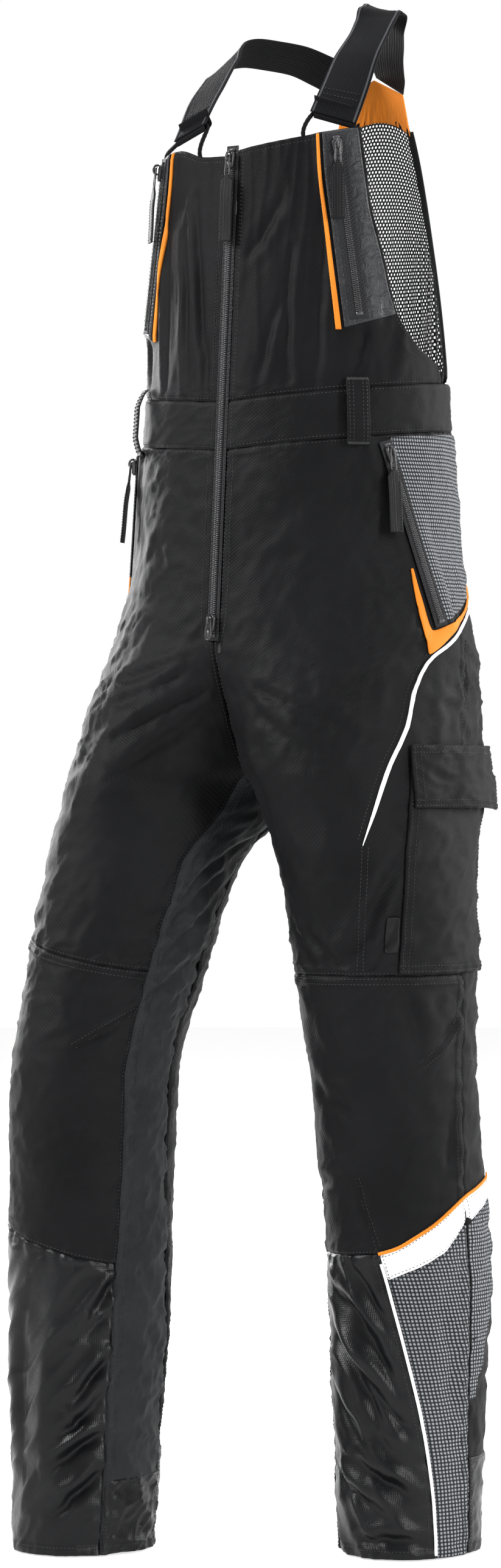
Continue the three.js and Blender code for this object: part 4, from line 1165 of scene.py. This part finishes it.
# Panels sewn on behind the outer seam, and the patches under the inner-leg panels.
behind = dict(lift=1.1, thick=1.0, cell=4)
panel("band_behind_left", 1, lambda z: side_seam(z) + 0.3, flat_line(128), band_bottom,
      lambda a: left_knee_bottom(a) - 1, WHITE,
      "white", ("seam", "patch", "patch", "patch"), **behind)
panel("weave_behind_left", 1, lambda z: side_seam(z) + 0.6,
      curve([(160, 94), (230, 112), (300, 126), (348, 128)]), flat_line(165),
      lambda a: band_bottom(a) - 0.8, WOVEN, "woven", PATCHED,
      stitch=("none", "patch", "none", "patch"), **behind)
for side, hand in SIDES:
    panel("ankle_patch_" + hand, side, lambda z: side_seam(z) + 0.6, lambda z: 358 + gusset_back(z),
          flat_line(HEM + 0.5),
          flat_line(112), NYLON, "nylon", ("patch", "patch", "hem", "patch"), **behind)
    panel("inner_patch_" + hand, side, lambda z: gusset_back(z) + 0.8, lambda z: seam_front(z) - 0.8,
          flat_line(HEM + 0.5),
          flat_line(92), NYLON, "nylon", ("patch", "patch", "hem", "patch"), **behind)

# Stitched lines that join nothing new: the fly, the centre seam, darts, and the side panel.
for side in (1, -1):
    fly = [(float(inner_angle(z, 14)), z) for z in (1026, 980, 930, 890)]
    fly += [(float(inner_angle(z, x)), z) for z, x in ((868, 12.5), (855, 9.5), (846, 7.0))]
    stitched_line(side, fly)
    bib_edge = [(float(inner_angle(z, 12.5)), z) for z in (1078, 1130, 1180, 1240, 1294)]
    stitched_line(side, bib_edge)
stitched_line(1, THIGH_PIPING[3:], offsets=(-4.5,))
stitched_line(1, [(33, 668), (27, 610), (22, 556)], offsets=(0, 5))
stitched_line(1, [(93, 522), (75, 492), (55, 471)], offsets=(0, 5))
stitched_line(1, [(3, 369), (8, 338), (15, 303)], offsets=(0, 5))
stitched_line(-1, [(-61, 516), (-43, 500), (-25, 483)], offsets=(0, 5))
for side in (1, -1):
    stitched_line(side, [(-65, 468), (-84, 462), (-101, 456)], offsets=(0, 5))
    stitched_line(side, [(128, 1050), (117, 1020), (120, 966), (115, 921)], offsets=(0,))
    stitched_line(side, [(99, 470), (128, 465), (160, 467), (200, 462)], offsets=(0, 5))
    stitched_line(side, [(100, 900), (126, 930), (160, 950), (178, 955)], offsets=(0, 5))
tack, tack_up = on_cloth(1, np.array([float(inner_angle(852.0, 0.5))]), np.array([846.0]))
bar_tack(tack[0], UPRIGHT, tack_up[0], 8, 2.2)

# ---- belt loops

for name, side, angle in (("front_left", 1, 51), ("front_right", -1, 51), ("back_left", 1, 142),
                          ("back_right", -1, 142),
                          ("back_centre", 1, 180)):
    t = np.linspace(0, 1, 34)
    top, bottom = waist_top(angle) + 9, waist_bottom(angle) - 9
    z = lerp(bottom, top, t)
    lift = 2.6 + 6.4 * np.minimum(1, 5 * t * (1 - t))
    up = normal(side, np.full_like(z, angle), z)
    settle = relief(side, np.full_like(z, angle), z) * (1 - ramp(np.minimum(t, 1 - t), 0, 0.12))
    centres = body(side, np.full_like(z, angle), z) + up * (lift + settle)[:, None]
    across = unit(np.cross(UPRIGHT, up))
    ribbon("belt_loop_" + name, centres, across, up, 10.5, 1.8, BLACK, columns=11, slot="shell", round_=0.9)
    for s in (-1, 1):
        stitch_along(centres + across * s * 8 + up * 1.8, up)
        stitch_along(centres + across * s * 4.5 + up * 1.8, up)
    for i in (1, -2):
        bar_tack(centres[i] + up[i] * 1.9, across[i], up[i], 19, 1.5)

# ---- the back: net, yoke, bindings

half_width = curve([(1092, 146), (1106, 139), (1215, 95), (1338, 43.5), (1378, 34)])
edge_depth = curve([(1092, 30), (1106, 41), (1215, 86), (1338, 126), (1378, 127)])
centre_depth = curve([(1092, 114), (1215, 121), (1338, 131), (1378, 129)])


def back_at(u, level):
    u, level = np.broadcast_arrays(np.asarray(u, float), np.asarray(level, float))
    y = lerp(centre_depth(level), edge_depth(level), np.abs(u) ** 2.3)
    rise = 17 * np.clip((level - 1100) / 238, 0, 1)
    gable = np.clip((level - 1338) / 39, 0, 1)
    return np.stack([u * half_width(level), y, level + rise * (1 - np.abs(u) ** lerp(2, 1, gable))], -1)


def back_face(u, level):
    along = back_at(u - 0.01, level) - back_at(u + 0.01, level)
    up = back_at(u, level + 1.0) - back_at(u, level - 1.0)
    n = unit(np.cross(along, up))
    return n * np.sign(n[..., 1:2] + 1e-9)


def gathers(u, level):
    """Soft upright folds of the net, strongest over the waistband."""
    x = u * half_width(level)
    low = 1 - ramp(level, 1100, 1300)
    wave = creases(x / 17, level / 150, 31) * 3.2 + creases(x / 9, level / 90, 32) * 1.2
    return wave * (0.25 + 0.75 * low) * ramp(1 - np.abs(u), 0, 0.12) + 1.0 * np.sin(level / 26 + u * 3)


def back_points(u, level, lift=0.0):
    n = back_face(u, level)
    return back_at(u, level) + n * (gathers(u, level) + lift)[..., None], n


PITCH, HOLE, NET_THICK = 3.7, 0.62, 0.55  # of the net; HOLE is a share of its cell
NET_LOW, NET_HIGH = 1097, 1338
corner = np.radians(np.arange(6) * 60 + 30)
hexagon = np.stack([np.cos(corner), np.sin(corner)], 1) * PITCH / math.sqrt(3)
keys, flat_points, rims = {}, [], []
row_gap = PITCH * math.sqrt(3) / 2
for row in range(int((1337 - 1096) / row_gap) + 1):
    level = NET_LOW + row * row_gap
    reach = float(half_width(level)) - 1.5
    for col in range(-50, 51):
        x = (col + 0.5 * (row % 2)) * PITCH
        if abs(x) > reach:
            continue
        ring = []
        for hx, hz in hexagon:
            key = (round((x + hx) * 20), round((level + hz) * 20))
            if key not in keys:
                keys[key] = len(flat_points)
                flat_points.append((x + hx, level + hz))
            ring.append(keys[key])
        hole = []
        for hx, hz in hexagon * HOLE:
            hole.append(len(flat_points))
            flat_points.append((x + hx, level + hz))
        rims.append((ring, hole))
flat_points = np.array(flat_points)
level = np.clip(flat_points[:, 1], 1092, 1338)
u = np.clip(flat_points[:, 0] / half_width(level), -1, 1)
outer, face_up = back_points(u, level)
count = len(outer)
faces, border = [], {}
for ring, hole in rims:
    for k in range(6):
        m = (k + 1) % 6
        a, b, c, d = ring[k], ring[m], hole[m], hole[k]
        faces += [(a, d, c, b), (a + count, b + count, c + count, d + count), (d, d + count, c + count, c)]
        border[(a, b)] = border.get((a, b), 0) + 1
for (a, b), times in border.items():
    if (b, a) not in border:
        faces.append((a, b, b + count, a + count))
net = mesh("back_mesh", np.concatenate([outer, outer - face_up * NET_THICK]), faces, NET, slot="mesh")
cloth_area = 2 * float(np.sum(half_width(np.arange(NET_LOW, float(NET_HIGH))))) * 1.06

u, level = np.meshgrid(np.linspace(-1, 1, 61), np.linspace(1336.5, 1377, 24))
n = back_face(u, level)
pull = (np.abs(noise(u * 7, level / 60, 41)) * 2.6 + creases(u * 9, level / 40,
                                                             42) * 1.3) * (1 - ramp(level, 1338, 1372))
rounding = 0.9 * (1 - ramp(np.minimum(1 - np.abs(u), (1377 - level) / 40), 0, 0.05))
outer = back_at(u, level) + n * (pull * 0.8 - rounding + 0.3)[..., None]
verts, faces = slab(outer, outer - n * 1.8)
uv = np.stack([u * half_width(level), level], -1).reshape(-1, 2)
yoke = mesh("back_yoke", verts, faces, ORANGE, slot="orange", uv=np.concatenate([uv, uv]))
for s in (-1, 1):
    for inset in (0.94, 0.84):
        lv = np.linspace(1340, 1374, 16)
        stitch_along(back_at(s * inset + 0 * lv, lv) + back_face(s * inset + 0 * lv, lv) * 1.0,
                     back_face(s * inset + 0 * lv, lv))

# Bindings: a folded strip round the net's sides, and another over the seam at its foot.
for s, hand in SIDES:
    lv = np.linspace(1094, 1340, 90)
    n = back_face(s * 1.0 + 0 * lv, lv)
    p = back_at(s * 1.0 + 0 * lv, lv)
    run = unit(np.gradient(p, axis=0))
    ribbon("net_binding_" + hand, p - n * 1.3, unit(np.cross(run, n)), n, 3.6, 2.6, ELASTIC, columns=9,
           round_=1.2, slot="shell")
uu = np.linspace(-0.99, 0.99, 120)
p, n = back_points(uu, 1339 + 0 * uu)
ribbon("yoke_binding", p - n * 0.6, UPRIGHT, n, 2.4, 1.6, ELASTIC, round_=0.7, slot="shell")
p, n = back_points(uu, 1099.5 + 0 * uu)
ribbon("net_foot", p - n * 1.1, UPRIGHT, n, 4.4, 2.0, BLACK, round_=0.8, slot="shell")

# ---- braces and their stirrups

BRACE_PATH = {
    1: [(89, -68, 1328, .82, .57, 0, 22), (90, -50, 1358, .9, .42, 0, 22), (89, -30, 1388, .97, .24, 0, 22),
        (87, -6, 1413, 1, .08, 0, 22), (85, 8, 1428, 1, .02, -.1, 22), (83, 17, 1436.5, .97, 0, -.24, 22),
        (80, 28, 1438, .97, 0, -.24, 22), (69, 45, 1430, .82, .1, -.52, 22),
        (58, 62, 1423, .77, .15, -.57, 22),
        (44.5, 81, 1414, .77, .15, -.57, 22), (29.5, 105, 1400, .82, .1, -.52, 22),
        (18, 127, 1386.5, .9, -.03, -.45, 17)],
    -1: [(-59.5, -86, 1324, .93, -.37, 0, 20.5), (-68.5, -50, 1361, .9, -.42, -.1, 22),
         (-79, -9, 1393, .8, -.58, -.12, 22),
         (-84, 10, 1405, .77, -.58, .2, 22), (-84, 22, 1411, .73, -.5, .42, 22),
         (-75, 36, 1414.5, .73, -.48, .48, 22),
         (-64, 53, 1413, .73, -.48, .48, 22), (-51, 72, 1410, .73, -.48, .48, 22),
         (-36, 96, 1400.5, .76, -.42, .5, 22),
         (-26, 113, 1393, .84, -.2, .5, 22), (-18, 127, 1386.5, .9, .03, .45, 17)],
}
LOOP_FEET = {1: (31, 54), -1: (19, 55)}
BRACE_STEP = 2.2  # between points along a brace


def ribs(s):
    return 0.1 * np.cos(s * 38) * (np.abs(s) < 0.86) + 0.35 * bell(np.abs(s) - 0.9, 0.05)


for side, hand in SIDES:
    line = smooth_line([p + (i,) for i, p in enumerate(BRACE_PATH[side])], BRACE_STEP)
    centres, across, half = line[:, :3], unit(line[:, 3:6]), line[:, 6]
    run = unit(np.gradient(centres, axis=0))
    ups = unit(np.cross(across, run))
    across = np.cross(run, ups)
    brace = ribbon("brace_" + hand, centres, across, ups, half, 1.9, ELASTIC, columns=45, round_=0.8,
                   profile=ribs, slot="webbing")
    for s in (-1, 1):
        ribbon("brace_selvedge_%s_%s" % (hand, "inner" if s < 0 else "outer"),
               centres + across * (s * (half - 2.6))[:, None],
               across, ups, 0.8, 0.5, SELVEDGE, columns=5, low=1.8, round_=0.2, slot="webbing")
    # The brace's lower end turns round the stirrup's bar and is sewn to itself.
    width = across[0]
    inward = unit(np.cross(UPRIGHT, width))
    start = centres[0]
    bar = start + inward * 6.5 + np.array([0, 0, 3.0])
    fold = [start, start + np.array([0, 0, -4.0]) + inward * 1.6, bar + np.array([0, 0, -4.4]),
            bar + inward * 3.2,
            bar + np.array([0, 0, 5]) + inward * 0.2, bar + np.array([0, 0, 13]) - inward * 3.6]
    fold = smooth_line(fold, 1.2)
    fold_run = unit(np.gradient(fold, axis=0))
    ribbon("brace_fold_" + hand, fold, width, unit(np.cross(width, fold_run)), 18.6, 1.5, ELASTIC,
           columns=31, low=-0.8, round_=0.7, profile=ribs, slot="webbing")
    for row in (24, 29):
        i = int(row / BRACE_STEP)
        s = np.linspace(-18, 18, 14)[:, None]
        stitch_along(centres[i] + across[i] * s + ups[i] * 2.0, ups[i])
    for row in (4, 16):
        i = len(centres) - 1 - int(row / BRACE_STEP)
        s = np.linspace(-14, 14, 12)[:, None]
        stitch_along(centres[i] + across[i] * s + ups[i] * 2.0, ups[i])
    feet = []
    for angle in LOOP_FEET[side]:
        z = float(bib_top[side](angle))
        foot, foot_up = on_cloth(side, np.array([angle, angle, angle]), np.array([z - 16.0, z - 2, z + 3]),
                                 0.0)
        feet.append(foot - foot_up * np.array([3.6, 2.4, 0.8])[:, None])
    head = [start + width * s * 19 + inward * 6.5 + np.array([0, 0, 3.0]) for s in (-side, side)]
    path = [*feet[0], lerp(feet[0][-1], head[0], 0.8), head[0] + 0.12 * (head[1] - head[0]),
            head[1] - 0.12 * (head[1] - head[0]), lerp(feet[1][-1], head[1], 0.8), *feet[1][::-1]]
    cord = smooth_line(path, 1.5)
    braid = 2.0 + 0.14 * np.sin(np.arange(len(cord)) * 2.1)
    verts, faces = tube(cord, braid, 12, up=inward)
    mesh("brace_loop_" + hand, verts, faces, ELASTIC, slot="webbing")

# ---- zips, sliders and pulls

HINGE_OUT = 7.4


def make_slider(name, zipper, at, rider):
    """A rounded body that narrows to its tail, with a bridge over the pull's barrel."""
    shape = Shape()
    t = np.linspace(0, 1, 17)
    wide = (4.7 - 1.3 * t**1.5) * np.sin(np.clip(t * 8 + 0.55, 0,
                                                 math.pi / 2)) * np.sin(np.clip((1 - t) * 8 + 0.55, 0,
                                                                                math.pi / 2))
    tall = 2.0 - 0.5 * np.abs(2 * t - 1) ** 4
    turn = np.linspace(0, 2 * math.pi, 24, endpoint=False)
    ring_a = np.sign(np.cos(turn)) * np.abs(np.cos(turn)) ** 0.55
    ring_o = np.sign(np.sin(turn)) * np.abs(np.sin(turn)) ** 0.55
    verts = np.concatenate([zipper.at(at + 15 * x, w * ring_a, 3.4 + h * ring_o) for x, w,
                            h in zip(t, wide, tall)])
    faces = [(i * 24 + k, i * 24 + (k + 1) % 24, (i + 1) * 24 + (k + 1) % 24,
              (i + 1) * 24 + k) for i in range(16) for k in range(24)]
    shape.add(verts, faces + [tuple(range(24))[::-1], tuple(16 * 24 + k for k in range(24))])
    arc = np.linspace(0, math.pi, 15)
    bridge = zipper.at(at + 4.6 - 4.3 * np.cos(arc), 0, 4.9 + 4.5 * np.sin(arc) ** 0.8)
    shape.add(*tube(bridge, 1.05, 10, flat=1.0, up=zipper.across))
    for s in (-1, 1):
        shape.add(*tube(zipper.at(np.linspace(at + 1.5, at + 13, 9), s * (3.9 - 0.9 * np.linspace(0, 1, 9)),
                                  5.2), 0.5, 8, up=zipper.out))
    shape.make(name, METAL, ride=rider, slot="slider")


def make_pull(name, zipper, at, length, rider):
    hinge = zipper.at(at + 4.2, 0, HINGE_OUT)
    down = unit(np.array([0, 0, -1.0]) + zipper.out * zipper.out[2])
    across = np.cross(down, zipper.out)

    def place(d, a, o):
        d, a, o = np.broadcast_arrays(*(np.asarray(v, float) for v in (d, a, o)))
        return hinge + d[..., None] * down + a[..., None] * across + o[..., None] * zipper.out

    shape = Shape()
    a = np.linspace(-2.3, 2.3, 9)
    shape.add(*tube(place(0, a, 0), 1.15, 12, up=down))
    arms = [(0, 2.2), (3, 2.0), (8, 1.9), (14, 2.6), (17.2, 2.2), (18.2, 0)] if length else \
        [(0, 2.1), (4, 1.9), (9, 2.8), (14, 3.0), (17.4, 2.0), (18.4, 0)]
    loop = arms + [(d, -w) for d, w in arms[-2::-1]]
    loop = smooth_line([(d, w, 0.15) for d, w in loop], 0.8)
    shape.add(*tube(place(loop[:, 0], loop[:, 1], loop[:, 2]), 0.85, 10, flat=0.8, up=zipper.out))
    if not length:
        shape.add(*bead(place(13.2, 0, 0.15), down, across, zipper.out, (3.6, 2.1, 0.5)))
    shape.make(name, METAL, ride=rider, slot="slider")
    if length:
        d = np.linspace(15.4, 17 + length, 46)
        wide = 1.5 + 5.0 * ramp(d, 16, 25)
        lift = 0.1 + 0.5 * np.sin((d - 15) / length * 5.0) * ramp(d, 20, 40)
        centres = place(d, 0, lift)
        ribbon(name + "_ribbon", centres, across, zipper.out, wide, 1.7, RIBBON, columns=17,
               low=-0.8, round_=0.5, profile=lambda s: 0.1 * np.cos(s * 30), ride=rider, slot="zip")
        for s in (-1, 1):
            k = d > 28
            stitch_along(centres[k] + across * s * 4.9 + zipper.out * 0.95, zipper.out, rider, 2.6, 1.8,
                         0.26)


for rider in frame["bodies"]:
    if rider.endswith("_tag"):
        stitches[rider] = [Shape()]
for key, (side, zipper) in ZIPS.items():
    shape = Shape()
    pitch = 1.7
    for i in range(int((zipper.length - 4) / pitch)):
        for s in (-1, 1):
            along = 2 + (i + (0.25 if s > 0 else 0.75)) * pitch
            shape.add(*bead(zipper.at(along, s * 1.25, 1.65), zipper.along, zipper.across, zipper.out,
                            (0.52, 1.65, 0.72)))
    for end, size in ((0.9, 1.3), (zipper.length - 1.5, 1.6)):
        shape.add(*bead(zipper.at(end, 0, 1.7), zipper.along, zipper.across, zipper.out, (size, 3.2, 0.9)))
    shape.make(key + "_zip", TEETH, slot="zip")
    d = np.linspace(-3, zipper.length + 3, int(zipper.length / 4))
    wave = 0.25 * noise(d / 16, side + 0.5, 51)
    ribbon(key + "_zip_tape", zipper.at(d, 0, wave * 0.3), zipper.across, zipper.out,
           zipper.tape, 1.0, TAPE, columns=25, low=-0.4, round_=0.35,
           profile=lambda s: -0.35 * bell(s, 0.07) + 0.12 * np.cos(s * 26) * (np.abs(s) > 0.5), slot="zip")
    for s in (-1, 1):
        edge = s * (zipper.tape - 1.3)
        stitch_along(zipper.at(d[2:-2], edge, 0.75), zipper.out)
    make_slider(key + "_slider", zipper, 3, key + "_runner")
    make_pull(key + "_pull", zipper, 3, zipper.ribbon, key + "_tag")
main_zip = ZIPS["main"][1]
make_slider("fly_slider", main_zip, main_zip.length - 20, "fly_runner")
make_pull("fly_pull", main_zip, main_zip.length - 20, 0, "fly_tag")

# ---- floor and the end

FLOOR_RADIUS, FLOOR_Z, FLOOR_GLOW = 9, -1.4175, 0.62
floor_data = bpy.data.meshes.new("floor")
turn = np.linspace(0, 2 * math.pi, 64, endpoint=False)
ring = [(FLOOR_RADIUS * math.cos(a), FLOOR_RADIUS * math.sin(a), FLOOR_Z) for a in turn]
floor_data.from_pydata(ring, [], [tuple(range(64))])
floor_data.materials.append(FLOOR)
floor = bpy.data.objects.new("floor", floor_data)
bpy.context.collection.objects.link(floor)
glow = FLOOR.node_tree.nodes["Principled BSDF"].inputs
glow["Emission Color"].default_value = (1, 1, 1, 1)
glow["Emission Strength"].default_value = FLOOR_GLOW

for owner, shapes in stitches.items():
    for k, shape in enumerate(shapes):
        if shape.count:
            shape.make("topstitching_%s_%d" % (owner, k + 1), THREAD, ride=owner, slot="shell")
